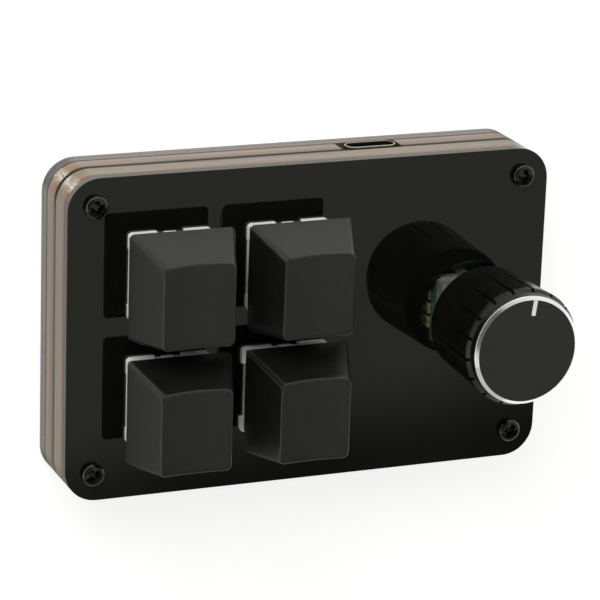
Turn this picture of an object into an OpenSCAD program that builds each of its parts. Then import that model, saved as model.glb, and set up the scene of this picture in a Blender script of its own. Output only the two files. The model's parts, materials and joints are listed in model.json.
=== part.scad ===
// Small desk keypad: four key switches and one push-and-turn knob in a case of
// stacked plates. The case lies on its feet, keys up. Z = 0 is the table, X runs
// left to right, Y runs from the front edge to the socket edge, and the origin
// is under the middle of the case.

/* [Case] */
// Width of the case, left to right
case_w = 85; // [83:0.5:100]
// Depth of the case, front edge to socket edge
case_d = 55; // [54:0.5:70]
// Corner radius of the plates and frames
corner_r = 5.5; // [4.8:0.1:7]
// Thickness of the front plate
front_t = 1.5; // [1.2:0.1:1.9]
// Thickness of the upper frame, which goes round the circuit board
upper_t = 5; // [4.6:0.1:7]
// Thickness of the lower frame, which goes round the socket
lower_t = 4.5; // [4.2:0.1:7]
// Thickness of the back plate
back_t = 3; // [2:0.1:5]
// Width of each frame's ring
frame_w = 4; // [3.4:0.1:4.5]
// Radius of the boss round each corner hole of the frames
boss_r = 4; // [3.4:0.1:4.6]

/* [Fasteners] */
// Distance of each corner screw from both plate edges
screw_inset = 4.7; // [4.4:0.1:5.2]
// Diameter of a screw's shank
screw_d = 2; // [1.6:0.1:2.2]
// Diameter of a screw's head
screw_head_d = 3.9; // [3.4:0.1:4.4]
// Height of a screw's head
screw_head_h = 1.3; // [1:0.1:1.6]
// Length of a screw's shank below its head
screw_len = 5; // [4:0.1:6.5]
// Outer diameter of a standoff
standoff_d = 3.6; // [3.2:0.1:4.2]
// Diameter of a rubber foot
foot_d = 8; // [6:0.5:9]
// Height of a rubber foot
foot_h = 2; // [1.6:0.1:4]
// Distance of each foot's centre from the side edges of the case
foot_inset_x = 14; // [12:0.5:18]
// Distance of each foot's centre from the front and socket edges
foot_inset_y = 9; // [8:0.5:12]

/* [Keys] */
// Distance from the left edge to the middle of the first column of keys
key_left = 17.3; // [16.8:0.1:18]
// Distance from the socket edge to the middle of the first row of keys
key_top = 16.8; // [16:0.1:17.5]
// Distance between the two columns of keys
key_pitch_x = 20.5; // [19:0.1:21.2]
// Distance between the two rows of keys
key_pitch_y = 21.2; // [19:0.1:22]
// Key travel
key_travel = 4; // [3:0.1:4]
// Width of a key cap at its skirt
cap_w = 18; // [17.4:0.1:18.4]
// Width of a key cap's top
cap_top_w = 12.1; // [11.6:0.1:13.6]
// Depth of a key cap's top, front to back
cap_top_d = 13.8; // [13.4:0.1:15.2]
// How far the cap's top is set towards the front edge
cap_top_shift = 1.3; // [0:0.1:1.4]
// Height of the cap's skirt above the front plate
cap_gap = 6.2; // [6.1:0.1:7]
// Height of the cap at the side of its top nearer the socket
cap_h_back = 9.1; // [8.8:0.1:10.5]
// Height of the cap at the side of its top nearer the front edge
cap_h_front = 9.1; // [8.8:0.1:10.5]
// Wall of a key cap
cap_wall = 1.3; // [1:0.1:1.5]
// Depth of the hollow across the cap's top
cap_dish = 0.6; // [0.3:0.1:0.9]

/* [Switches] */
// Width of the square switch hole in the front plate
cutout_w = 14; // [13.9:0.05:14.2]
// Width of a switch's rim, left to right
rim_w = 14.2; // [14.2:0.1:15.2]
// Width of the rim of the fourth key's switch, whose corner pads reach further out
rim_w_fourth = 15.2; // [14.3:0.1:15.4]
// Depth of a switch's rim, front to back
rim_d = 14.8; // [14.8:0.1:16]
// Thickness of the switch's rim
rim_t = 0.9; // [0.7:0.1:1.1]
// From the top of the front plate down to the top of the circuit board
switch_seat = 5; // [4.6:0.1:5.4]
// Height of the switch housing above the front plate
housing_h = 6.6; // [6.4:0.1:6.8]
// Height of the stem's cross above the switch housing
cross_h = 3.6; // [3.2:0.1:3.8]
// Length of each arm of the stem's cross, tip to tip
cross_w = 4; // [3.8:0.1:4.1]
// Thickness of the arms of the stem's cross
cross_t = 1.2; // [1:0.05:1.3]
// Wire diameter of the key spring
spring_wire = 0.36; // [0.3:0.02:0.4]
// Outer diameter of the key spring
spring_d = 4.4; // [4:0.1:4.8]
// Turns of the key spring
spring_turns = 7; // [6:1:8]

/* [Circuit board] */
// Thickness of the circuit board
board_t = 1.6; // [1:0.1:1.8]
// Gap from the circuit board to the frame round it
board_gap = 0.35; // [0.2:0.05:0.6]
// Distance from the left edge of the case to the middle of the socket
usb_left = 55.6; // [52:0.1:57]
// Width of the socket's shell
usb_w = 8.94; // [8.7:0.02:9.2]
// Height of the socket's shell
usb_h = 3.2; // [3:0.1:3.4]
// Length of the socket's shell
usb_len = 7.4; // [7:0.1:8]
// How far the socket stands out of the case
usb_proud = 0.3; // [0:0.05:0.6]
// Gap from the socket to the sides of its slot in the lower frame
usb_side_gap = 0.85; // [0.4:0.05:1.2]

/* [Knob] */
// Distance from the right edge of the case to the knob's axis
knob_right = 13.5; // [13.2:0.1:14.5]
// Diameter of the knob
knob_d = 20; // [19:0.1:21]
// Diameter of the knob's underside
knob_base_d = 18.8; // [18.2:0.1:19]
// Height of the knob's underside above the front plate
knob_gap = 5.5; // [5.1:0.1:6.5]
// Height of the knob
knob_h = 17.6; // [16.8:0.1:20]
// Height of the sloping shoulder at the top of the knob's side
shoulder_h = 0.7; // [0.5:0.05:1]
// How far the shoulder draws in
shoulder_in = 0.55; // [0.45:0.05:0.7]
// Height of the neck between the shoulder and the bright bevel
neck_h = 1.2; // [0.8:0.1:1.5]
// How far the neck draws in
neck_in = 0.2; // [0.1:0.05:0.3]
// Width of the bright bevel round the knob's face, seen from above
bevel_w = 0.55; // [0.4:0.05:0.7]
// Height of the bright bevel
bevel_h = 0.5; // [0.4:0.05:0.7]
// Number of grooves down the knob's side
groove_count = 17; // [12:1:20]
// Width of each groove
groove_w = 0.5; // [0.3:0.05:0.8]
// Depth of each groove at the shoulder
groove_depth = 0.4; // [0.3:0.05:0.5]
// Wall of the knob's metal shell
knob_wall = 1.6; // [1.3:0.1:1.8]
// Length of the pointer line on the knob's face
pointer_len = 2.6; // [2:0.1:4]
// Width of the pointer line
pointer_w = 0.7; // [0.5:0.05:1]
// Direction of the pointer line at rest, from the right, anticlockwise
pointer_angle = 83; // [0:1:180]

/* [Encoder] */
// Diameter of the round hole in the front plate
encoder_hole_d = 17.5; // [17.2:0.1:18]
// Width of the encoder's body, both ways
encoder_w = 11.8; // [11.4:0.1:12]
// Height of the encoder's moulded base
encoder_base_h = 2.4; // [2.2:0.1:2.6]
// Height of the encoder's contact wafer
encoder_wafer_h = 2.3; // [2:0.1:2.5]
// Height of the encoder's metal cover
encoder_cover_h = 2.3; // [2.1:0.1:2.5]
// Sheet thickness of the encoder's cover
encoder_sheet = 0.4; // [0.3:0.05:0.5]
// Diameter of the bushing on the encoder's cover
bushing_d = 7; // [6.8:0.1:7.6]
// Height of the bushing above the cover
bushing_h = 5; // [4.5:0.1:6]
// Diameter of the encoder's shaft
shaft_d = 6; // [5.8:0.1:6.2]
// Length of the shaft above the encoder's cover
shaft_len = 15; // [13.5:0.1:17]
// Length of the flat at the end of the shaft
shaft_flat_len = 7; // [5:0.1:8]
// Depth of the flat on the shaft
shaft_flat = 1.5; // [1.2:0.1:1.8]
// Travel of the knob when it is pushed
push_travel = 0.5; // [0.3:0.05:0.5]

/* [Hidden] */
$fn = 64;

// Clearances
slip = 0.05;          // between a piece and the slot or bore it is held in
run_gap = 0.15;       // between a moving piece and what it moves past
cut = 0.2;            // how far a cutting solid stands out of what it cuts

// Levels, from the table up
z_back = foot_h;
z_lower = z_back + back_t;
z_upper = z_lower + lower_t;
z_front = z_upper + upper_t;
z_face = z_front + front_t;
z_board = z_face - switch_seat;          // upper side of the circuit board
z_under = z_board - board_t;             // underside of the circuit board

// Screw places
screw_x = case_w / 2 - screw_inset;
screw_y = case_d / 2 - screw_inset;
screw_hole_d = screw_d + 0.3;            // clearance hole in a plate
standoff_hole_d = standoff_d + 0.4;      // clearance hole in a frame
thread_len = screw_len - front_t + 0.4;  // depth of the front threaded hole of a standoff
foot_x = case_w / 2 - foot_inset_x;
foot_y = case_d / 2 - foot_inset_y;

// Key places: 1 and 2 are the row nearer the socket, 3 and 4 the front row
KEYS = [1, 2, 3, 4];
function key_x(i) = -case_w / 2 + key_left + ((i - 1) % 2) * key_pitch_x;
function key_y(i) = case_d / 2 - key_top - floor((i - 1) / 2) * key_pitch_y;

// Switch, measured from the top of the front plate
housing_w = cutout_w - 2 * slip;         // part of the base in the plate's hole
housing_wall = 1.1;
housing_top_w = 11;                      // top of the housing, across
housing_top_d = 10.8;                    // top of the housing, front to back
ceiling_t = 1;                           // top wall of the housing
floor_t = 1.2;                           // bottom wall of the base
z_floor = -switch_seat + floor_t;        // floor inside the base
stem_w = 7;                              // block of the stem, across
stem_d = 5.7;                            // block of the stem, front to back
stem_rim_w = 9.2;                        // rim that keeps the stem in the housing
stem_rim_d = 7.2;
stem_rim_t = 1.6;
z_stem_rim = housing_h - ceiling_t - slip - stem_rim_t;
pole_d = 2.4;                            // pole under the stem, inside the spring
post_d = 3.96;                           // post under the base, through the board
post_len = 3.3;                          // length of the post below the board's top
pole_bore_floor = 0.9;                   // bottom wall of the post
pole_len = z_stem_rim + switch_seat + post_len - pole_bore_floor - key_travel - 2 * run_gap;
corner_pad = 2.7;                        // length of the rim's wide corner pads
rim_r = 0.75;                            // corner radius of the rim
rim_tab_reach = 0.15;                    // how far the tab between the pads passes the hole
cap_post_d = 5.4;                        // post inside the cap that grips the cross
cap_post_gap = 0.2;                      // from that post down to the stem's block
cross_grip = cross_h - cap_post_gap;     // length of the cross inside that post
cap_mid_h = (cap_h_front + cap_h_back) / 2;
cap_edge = 0.35;                         // softened edge round the cap's top
cap_tilt = atan2(cap_h_front - cap_h_back, cap_top_d);

// Switch pins: [across, towards the socket] from the switch's middle
pin_hole_d = 1.5;
contact_t = 0.3;                         // sheet of the contact leaves
contact_pin_w = 1;
pin_grid = 1.27;                         // pitch that the pins stand on
PINS = [[-3 * pin_grid, 2 * pin_grid], [2 * pin_grid, 4 * pin_grid]];
diode_back = 4.5;                        // from the switch's middle to its diode
pin_tip = 1.4;                           // how far the pins stand out under the board

// Circuit board outline and holes
board_w = case_w - 2 * (frame_w + board_gap);
board_d = case_d - 2 * (frame_w + board_gap);
usb_x = -case_w / 2 + usb_left;
usb_front = case_d / 2 + usb_proud;      // mouth of the socket
usb_skin = 1.5;                          // wall of the upper frame in front of the board's tab
tab_side = 1.5;                          // how far the socket's tab reaches past its shell
tab_w = usb_w + 2 * tab_side;            // tab of the board that carries the socket
tab_y = case_d / 2 - usb_skin - board_gap;
usb_wall = 0.3;
usb_r = usb_h / 2 - 0.05;                // corner radius of the shell
leg_w = usb_wall;                        // legs of the shell are as thick as its sheet
shell_leg_x = (usb_w - leg_w) / 2;
SHELL_LEGS = [1.6, 5.4];                 // leg places behind the tab's edge
leg_d = 1.1;

// Encoder and knob, measured from the upper side of the circuit board
knob_x = case_w / 2 - knob_right;
knob_y = -0.3;                           // from the middle of the case
e_wafer = encoder_base_h;
e_cover = e_wafer + encoder_wafer_h;
e_top = e_cover + encoder_cover_h;
rotor_r = encoder_w / 2 - encoder_sheet - 0.6;
rotor_h = encoder_cover_h - encoder_sheet - 2 * run_gap;
tail_d = 5;                              // lower end of the shaft, in the rotor
tail_flat = 1;                           // depth of the flat on the lower end
tail_drop = 0.8;                         // how far the lower end reaches below the cover
button_r = 2.3;
button_h = 1.4;
well_r = button_r + run_gap;
well_floor = 0.5;                        // floor under the snap dome
dome_t = 0.15;
button_z = e_cover - tail_drop - slip - button_h;
dome_h = button_z - slip - well_floor;
lug_w = 2.2;                             // lug of the cover, through the board
lug_len = board_t + 1.2;
flap_w = encoder_w - 1.6;                // side flap of the cover
terminal_w = 1.8;
terminal_t = 0.45;
terminal_leg_w = 0.8;
terminal_leg_len = board_t + 1.2;
terminal_pitch = 2.5;
SIGNAL_ROWS = [-1, 0, 1];                // three signal terminals, left side
SWITCH_ROWS = [-1, 1];                   // two push-switch terminals, right side

// Parts under the board, between the right column of keys and the encoder
parts_x = (key_x(2) + housing_w / 2 + knob_x - encoder_w / 2) / 2;
part_gap = 0.6;                          // between neighbouring parts
chip_w = 7;                              // controller, both ways
chip_t = 0.9;
chip_y = 7;                              // from the middle of the board
crystal_w = 3.2;
crystal_d = 2.5;
crystal_t = 0.4;
crystal_lid_t = 0.3;
crystal_y = chip_y - (chip_w + crystal_d) / 2 - 2 * part_gap;
memory_w = 3.9;
memory_d = 4.9;
memory_t = 1.4;

// Knob, measured from the top of the front plate
z_knob_top = knob_gap + knob_h;
z_bevel = z_knob_top - bevel_h;
z_shoulder = z_bevel - neck_h - shoulder_h;
bevel_r = knob_d / 2 - shoulder_in - neck_in;
face_r = bevel_r - bevel_w;
z_cover_top = e_top - switch_seat;
z_shaft_top = z_cover_top + shaft_len;
core_top = z_shaft_top + 1.2;            // top of the plastic core
core_d = knob_base_d - 2 * knob_wall;
recess_gap = 2;                          // room round the bushing in the knob's core
recess_d = bushing_d + 2 * recess_gap;
recess_top = z_cover_top + bushing_h + push_travel + 1;
pointer_end = face_r - 0.05;             // outer end of the pointer line
pointer_t = 0.3;
groove_angle = 18;                       // direction of the first groove

// ---- shapes used by more than one piece ----

module rounded_rect(w, d, r) {
    for (x = [-1, 1], y = [-1, 1])
        translate([x * (w / 2 - r), y * (d / 2 - r)]) circle(r);
    square([w - 2 * r, d], center = true);
    square([w, d - 2 * r], center = true);
}

module centred_box(w, d, h) {
    translate([-w / 2, -d / 2, 0]) cube([w, d, h]);
}

module at_corners(x, y) {
    for (sx = [-1, 1], sy = [-1, 1]) translate([sx * x, sy * y, 0]) children();
}

module at_key(i) {
    translate([key_x(i), key_y(i), z_face]) children();
}

module at_encoder() {
    translate([knob_x, knob_y, z_board]) children();
}

module at_knob() {
    translate([knob_x, knob_y, z_face]) children();
}

// Round shaft or hole with one flat towards the socket edge
module flatted(d, flat, h) {
    difference() {
        cylinder(d = d, h = h);
        translate([-d, d / 2 - flat, -cut]) cube([2 * d, d, h + 2 * cut]);
    }
}

// ---- case ----

module front_plate() {
    color([0.06, 0.06, 0.06])
    difference() {
        translate([0, 0, z_front]) linear_extrude(front_t) rounded_rect(case_w, case_d, corner_r);
        for (i = KEYS) translate([key_x(i), key_y(i), z_front - cut])
            centred_box(cutout_w, cutout_w, front_t + 2 * cut);
        translate([knob_x, knob_y, z_front - cut]) cylinder(d = encoder_hole_d, h = front_t + 2 * cut);
        at_corners(screw_x, screw_y)
            translate([0, 0, z_front - cut]) cylinder(d = screw_hole_d, h = front_t + 2 * cut);
    }
}

// Ring of one frame: the outline less the inside, with a boss at each screw
module frame_ring(t) {
    difference() {
        linear_extrude(t) rounded_rect(case_w, case_d, corner_r);
        difference() {
            translate([0, 0, -cut]) centred_box(case_w - 2 * frame_w, case_d - 2 * frame_w, t + 2 * cut);
            at_corners(screw_x, screw_y) translate([0, 0, -2 * cut]) cylinder(r = boss_r, h = t + 4 * cut);
        }
        at_corners(screw_x, screw_y)
            translate([0, 0, -cut]) cylinder(d = standoff_hole_d, h = t + 2 * cut);
    }
}

// Pocket in the frames for the tab of the board that carries the socket
module tab_pocket(h) {
    translate([usb_x - tab_w / 2 - board_gap, case_d / 2 - frame_w - cut, 0])
        cube([tab_w + 2 * board_gap, frame_w - usb_skin + cut, h]);
}

module upper_frame() {
    color([0.45, 0.40, 0.36, 0.6])
    translate([0, 0, z_upper])
    difference() {
        frame_ring(upper_t);
        translate([0, 0, -cut]) tab_pocket(upper_t + 2 * cut);
    }
}

module lower_frame() {
    color([0.42, 0.36, 0.31, 0.6])
    translate([0, 0, z_lower])
    difference() {
        frame_ring(lower_t);
        translate([usb_x - usb_w / 2 - usb_side_gap, case_d / 2 - frame_w - cut, -cut])
            cube([usb_w + 2 * usb_side_gap, frame_w + 2 * cut, lower_t + 2 * cut]);
        // relief for the tab where the board reaches below the upper frame
        translate([0, 0, z_under - z_lower - board_gap]) tab_pocket(lower_t);
    }
}

module back_plate() {
    color([0.55, 0.52, 0.50, 0.8])
    difference() {
        translate([0, 0, z_back]) linear_extrude(back_t) rounded_rect(case_w, case_d, corner_r);
        at_corners(screw_x, screw_y)
            translate([0, 0, z_back - cut]) cylinder(d = screw_hole_d, h = back_t + 2 * cut);
    }
}

// One pan-head screw, head up, its head's underside at Z = 0
module screw(shank) {
    crown = 0.35;
    slot_w = 0.5;
    slot_depth = 0.7;
    difference() {
        union() {
            cylinder(d = screw_head_d, h = screw_head_h - crown);
            translate([0, 0, screw_head_h - crown])
                cylinder(d1 = screw_head_d, d2 = screw_head_d - 2 * crown, h = crown);
            translate([0, 0, -shank]) cylinder(d = screw_d, h = shank);
        }
        for (a = [0, 90]) rotate(a)
            translate([0, 0, screw_head_h - slot_depth])
                centred_box(screw_head_d * 0.6, slot_w, slot_depth + cut);
    }
}

module front_screws() {
    color([0.1, 0.1, 0.1])
    at_corners(screw_x, screw_y) translate([0, 0, z_face]) screw(screw_len);
}

module back_screws() {
    color([0.1, 0.1, 0.1])
    at_corners(screw_x, screw_y) translate([0, 0, z_back]) mirror([0, 0, 1]) screw(screw_len);
}

module standoffs() {
    tap_d = screw_d + 2 * slip;
    back_thread = screw_len - back_t + 0.4;
    color([0.75, 0.62, 0.35])
    at_corners(screw_x, screw_y)
    difference() {
        translate([0, 0, z_lower]) cylinder(d = standoff_d, h = lower_t + upper_t);
        translate([0, 0, z_front - thread_len]) cylinder(d = tap_d, h = thread_len + cut);
        translate([0, 0, z_lower - cut]) cylinder(d = tap_d, h = back_thread + cut);
    }
}

module rubber_feet() {
    edge = 0.5;
    color([0.15, 0.15, 0.15])
    at_corners(foot_x, foot_y)
    rotate_extrude()
        polygon([
            [0, 0], [foot_d / 2 - edge, 0], [foot_d / 2, edge], [foot_d / 2, foot_h], [0, foot_h]
        ]);
}

// ---- circuit board ----

module circuit_board() {
    color([0.05, 0.35, 0.2])
    difference() {
        translate([0, 0, z_under]) union() {
            difference() {
                centred_box(board_w, board_d, board_t);
                at_corners(screw_x, screw_y)
                    translate([0, 0, -cut]) cylinder(r = boss_r + board_gap, h = board_t + 2 * cut);
            }
            translate([usb_x - tab_w / 2, 0, 0]) cube([tab_w, tab_y, board_t]);
        }
        for (i = KEYS) translate([key_x(i), key_y(i), z_under - cut]) {
            cylinder(d = post_d + 2 * slip, h = board_t + 2 * cut);
            for (p = PINS) translate([p[0], p[1], 0]) cylinder(d = pin_hole_d, h = board_t + 2 * cut);
        }
        translate([knob_x, knob_y, z_under - cut]) encoder_leg_holes();
        for (sx = [-1, 1], back = SHELL_LEGS)
            translate([usb_x + sx * shell_leg_x, tab_y - back, z_under - cut])
                centred_box(leg_w + 2 * slip, leg_d + 2 * slip, board_t + 2 * cut);
    }
}

module encoder_leg_holes() {
    h = board_t + 2 * cut;
    hole_d = 1.1;
    x = (encoder_w + terminal_t) / 2;
    for (k = SIGNAL_ROWS) translate([-x, k * terminal_pitch, 0]) cylinder(d = hole_d, h = h);
    for (k = SWITCH_ROWS) translate([x, k * terminal_pitch, 0]) cylinder(d = hole_d, h = h);
    for (s = [-1, 1]) translate([0, s * (encoder_w / 2 - encoder_sheet / 2), 0])
        centred_box(lug_w + 2 * slip, encoder_sheet + 2 * slip, h);
}

// Cross-section of the socket: a flat slot with round ends, seen from the mouth
module usb_outline(inset) {
    rounded_rect(usb_w - 2 * inset, usb_h - 2 * inset, usb_r - inset);
}

module usb_shell() {
    leg_short = 0.2;                     // the legs stop inside the board
    color([0.8, 0.8, 0.8])
    union() {
        translate([usb_x, usb_front, z_under - usb_h / 2]) rotate([90, 0, 0])
        difference() {
            linear_extrude(usb_len) usb_outline(0);
            translate([0, 0, -cut]) linear_extrude(usb_len - usb_wall + cut) usb_outline(usb_wall);
        }
        for (sx = [-1, 1], back = SHELL_LEGS)
            translate([usb_x + sx * shell_leg_x, tab_y - back, z_under - usb_r])
                centred_box(leg_w, leg_d, usb_r + board_t - leg_short);
    }
}

module usb_tongue() {
    tongue_w = 6.7;
    tongue_t = 0.7;
    tongue_back = 0.9;                   // from the mouth to the tongue's edge
    block_len = 2;                       // solid block at the back of the shell
    contact_w = 0.25;
    contact_pitch = 0.5;
    contact_count = 12;
    groove_depth = 0.05;
    inner_len = usb_len - usb_wall;
    groove_from = tongue_back + 0.4;     // the tongue's tip stays smooth
    groove_len = inner_len - block_len - groove_from;
    color([0.1, 0.1, 0.1])
    translate([usb_x, usb_front, z_under - usb_h / 2]) rotate([90, 0, 0]) {
        translate([0, 0, inner_len - block_len])
            linear_extrude(block_len) usb_outline(usb_wall + slip);
        difference() {
            translate([-tongue_w / 2, -tongue_t / 2, tongue_back])
                cube([tongue_w, tongue_t, inner_len - block_len - tongue_back + cut]);
            // grooves between the contacts
            for (k = [0 : contact_count], s = [-1, 1])
                translate([(k - contact_count / 2) * contact_pitch, s * tongue_t / 2, groove_from])
                    centred_box(contact_pitch - contact_w, 2 * groove_depth, groove_len);
        }
    }
}

// Chips and small parts hang face to face under the board, at [x, y] from its middle
module under_board(x, y) {
    translate([x, y, z_under]) mirror([0, 0, 1]) children();
}

module controller_chip() {
    mark_d = 0.7;
    mark_inset = 0.9;
    mark_depth = 0.1;
    color([0.12, 0.12, 0.12])
    under_board(parts_x, chip_y) difference() {
        centred_box(chip_w, chip_w, chip_t);
        translate([mark_inset - chip_w / 2, chip_w / 2 - mark_inset, chip_t - mark_depth])
            cylinder(d = mark_d, h = mark_depth + cut);
    }
}

module memory_chip() {
    lead_len = 1.1;
    lead_w = 0.4;
    lead_t = 0.3;
    lead_pitch = 1.27;
    color([0.12, 0.12, 0.12])
    under_board(parts_x, crystal_y - (crystal_d + memory_d) / 2 - part_gap) {
        centred_box(memory_w, memory_d, memory_t);
        for (s = [-1, 1], k = [-1.5 : 1 : 1.5])
            translate([s * (memory_w + lead_len) / 2, k * lead_pitch, 0])
                centred_box(lead_len + slip, lead_w, lead_t);
    }
}

module crystal() {
    lid_inset = 0.15;
    color([0.8, 0.8, 0.78])
    under_board(parts_x, crystal_y) {
        centred_box(crystal_w, crystal_d, crystal_t);
        translate([0, 0, crystal_t])
            centred_box(crystal_w - 2 * lid_inset, crystal_d - 2 * lid_inset, crystal_lid_t);
    }
}

module voltage_regulator() {
    body_w = 1.7;
    body_d = 3;
    body_t = 1.1;
    lead_len = 1;
    lead_w = 0.4;
    lead_t = 0.2;
    lead_y = 0.95;
    x = (body_w + lead_len) / 2 - slip;
    place_x = parts_x + (chip_w + body_w) / 2 + lead_len + part_gap;
    color([0.12, 0.12, 0.12])
    under_board(place_x, chip_y + (chip_w + body_d) / 2 + part_gap) {
        translate([0, 0, lead_t / 2]) centred_box(body_w, body_d, body_t);
        for (k = [-1, 1]) translate([x, k * lead_y, 0]) centred_box(lead_len, lead_w, lead_t);
        translate([-x, 0, 0]) centred_box(lead_len, lead_w, lead_t);
    }
}

// Chip resistors and capacitors in two rows beside the controller
module small_parts() {
    row_count = 5;
    part_w = 1.6;
    part_d = 0.8;
    part_t = 0.6;
    row_pitch = (chip_w + crystal_d) / row_count;
    row_x = (chip_w + part_w) / 2 + part_gap;
    first_y = chip_y + (chip_w - part_d) / 2;
    color([0.55, 0.45, 0.35])
    for (k = [0 : row_count - 1], side = [-1, 1])
        under_board(parts_x + side * row_x, first_y - k * row_pitch) centred_box(part_w, part_d, part_t);
}

// One diode under the board beside each switch
module diodes() {
    end_r = 0.8;
    end_len = 0.5;
    glass_len = 2.5;
    color([0.7, 0.35, 0.2])
    for (i = KEYS)
        translate([key_x(i) - glass_len / 2 - end_len, key_y(i) - diode_back, z_under - end_r])
            rotate([0, 90, 0]) {
                cylinder(r = end_r, h = end_len);
                translate([0, 0, end_len]) cylinder(r = end_r - 0.1, h = glass_len);
                translate([0, 0, end_len + glass_len]) cylinder(r = end_r, h = end_len);
            }
}

// ---- key switches, measured from the top of the front plate ----

// Tapered block with flat sides: full size at the bottom, smaller at the top
module tapered(w1, d1, w2, d2, h) {
    reach = max(w1, d1);
    intersection() {
        rotate([90, 0, 0]) translate([0, 0, -reach]) linear_extrude(2 * reach)
            polygon([[-w1 / 2, 0], [w1 / 2, 0], [w2 / 2, h], [-w2 / 2, h]]);
        rotate([90, 0, 90]) translate([0, 0, -reach]) linear_extrude(2 * reach)
            polygon([[-d1 / 2, 0], [d1 / 2, 0], [d2 / 2, h], [-d2 / 2, h]]);
    }
}

// Rim on the plate: wide pads at the corners, recessed between them
module switch_rim(width) {
    side_recess = (width - housing_w) / 2;
    end_recess = (rim_d - housing_w) / 2;
    end_gap = 4.7;
    tab_w = 2;
    tab_t = 0.55;
    difference() {
        linear_extrude(rim_t) rounded_rect(width, rim_d, rim_r);
        for (s = [-1, 1]) {
            translate([s * width / 2, 0, -cut])
                centred_box(2 * side_recess, rim_d - 2 * corner_pad, rim_t + 2 * cut);
            translate([0, s * rim_d / 2, -cut])
                centred_box(end_gap, 2 * end_recess, rim_t + 2 * cut);
        }
    }
    centred_box(tab_w, cutout_w + 2 * rim_tab_reach, tab_t);
}

module switch_base(i) {
    inner = housing_w - 2 * housing_wall;
    clip_w = 3;
    clip_h = 0.9;
    clip_reach = 0.35;
    slot_gap = 0.1;
    color([0.93, 0.93, 0.9])
    at_key(i) difference() {
        union() {
            translate([0, 0, -switch_seat]) centred_box(housing_w, housing_w, switch_seat + rim_t);
            switch_rim(i == 4 ? rim_w_fourth : rim_w);
            translate([0, 0, -switch_seat - post_len]) cylinder(d = post_d, h = post_len + cut);
            // clips that catch under the plate
            for (s = [-1, 1]) translate([0, s * housing_w / 2, -front_t - slip - clip_h])
                centred_box(clip_w, 2 * clip_reach, clip_h);
        }
        translate([0, 0, z_floor]) centred_box(inner, inner, switch_seat + rim_t);
        translate([0, 0, -switch_seat - post_len + pole_bore_floor])
            cylinder(d = pole_d + 2 * run_gap, h = switch_seat + post_len);
        for (p = PINS) translate([p[0], p[1], -switch_seat - cut])
            centred_box(contact_pin_w + 2 * slot_gap, contact_t + 2 * slot_gap, floor_t + 2 * cut);
    }
}

module switch_top(i) {
    top_z = rim_t;
    h = housing_h - top_z;
    lower_w = housing_w;
    w = 2 * housing_wall;
    inner_low = lower_w - w;
    color([0.05, 0.05, 0.05])
    at_key(i) translate([0, 0, top_z]) difference() {
        tapered(lower_w, lower_w, housing_top_w, housing_top_d, h);
        translate([0, 0, -cut]) centred_box(inner_low, inner_low, 2 * cut);
        tapered(inner_low, inner_low, housing_top_w - w + 1, housing_top_d - w, h - ceiling_t);
        centred_box(stem_w + 2 * slip, stem_d + 2 * slip, h + cut);
    }
}

module switch_stem(i) {
    leg_w = 3.2;
    leg_t = 0.7;
    leg_h = 4;
    color([0.35, 0.2, 0.12])
    at_key(i) union() {
        translate([0, 0, z_stem_rim]) {
            centred_box(stem_rim_w, stem_rim_d, stem_rim_t);
            centred_box(stem_w, stem_d, housing_h - z_stem_rim);
        }
        translate([0, 0, housing_h]) {
            centred_box(cross_w, cross_t, cross_h);
            centred_box(cross_t, cross_w, cross_h);
        }
        // pole inside the spring
        translate([0, 0, z_stem_rim - pole_len]) cylinder(d = pole_d, h = pole_len + cut);
        // leg that pushes the moving contact
        translate([-leg_w / 2, stem_rim_d / 2 - leg_t, z_stem_rim + stem_rim_t - leg_h])
            cube([leg_w, leg_t, leg_h]);
    }
}

// Tube swept along a helix, closed at both ends
module helix_tube(mean_r, wire_r, turns, rise, rings_per_turn, sides) {
    n = turns * rings_per_turn;
    slope = atan2(rise, 360 / 180 * PI * mean_r * turns);
    function ring_point(k, j) =
        let (a = 360 * k / rings_per_turn, b = 360 * j / sides,
             r = mean_r + wire_r * cos(b), up = wire_r * sin(b))
        [
            r * cos(a) + up * sin(slope) * sin(a),
            r * sin(a) - up * sin(slope) * cos(a),
            rise * k / n + up * cos(slope)
        ];
    points = [for (k = [0 : n], j = [0 : sides - 1]) ring_point(k, j)];
    walls = [
        for (k = [0 : n - 1], j = [0 : sides - 1])
            let (a = k * sides + j, b = k * sides + (j + 1) % sides)
            each [[a, b, b + sides], [a, b + sides, a + sides]]
    ];
    caps = [
        for (j = [1 : sides - 2]) each [[0, j + 1, j], [n * sides, n * sides + j, n * sides + j + 1]]
    ];
    polyhedron(points = points, faces = concat(walls, caps), convexity = 10);
}

module switch_spring(i) {
    wire_r = spring_wire / 2;
    end_gap = 0.02;
    low = z_floor + wire_r + end_gap;
    high = z_stem_rim - wire_r - end_gap;
    color([0.8, 0.8, 0.8])
    at_key(i) translate([0, 0, low])
        helix_tube(spring_d / 2 - wire_r, wire_r, spring_turns, high - low, 8, 6);
}

// Two leaves that stand on the floor of the base, with their pins through the board
module switch_contacts(i) {
    pin_len = floor_t + board_t + pin_tip;
    LEAVES = [[1.6, 2.6], [2.6, 4.8]];   // width and height of each leaf
    color([0.8, 0.55, 0.3])
    at_key(i)
    for (k = [0, 1]) translate([PINS[k][0], PINS[k][1], z_floor]) {
        centred_box(LEAVES[k][0], contact_t, LEAVES[k][1]);
        translate([0, 0, -pin_len]) centred_box(contact_pin_w, contact_t, pin_len + slip);
    }
}

// ---- key caps ----

// Rounded slab used at the skirt and the top of a cap
module cap_slab(w, d, r) {
    linear_extrude(0.01) rounded_rect(w, d, r, $fn = 32);
}

// Slab across a cap near its top: grow widens it, down lowers it
module cap_level(shrink, mid_h, down, grow, r) {
    translate([0, -cap_top_shift, mid_h - down]) rotate([-cap_tilt, 0, 0])
        cap_slab(cap_top_w - 2 * shrink + grow, cap_top_d - 2 * shrink + grow, r);
}

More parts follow.
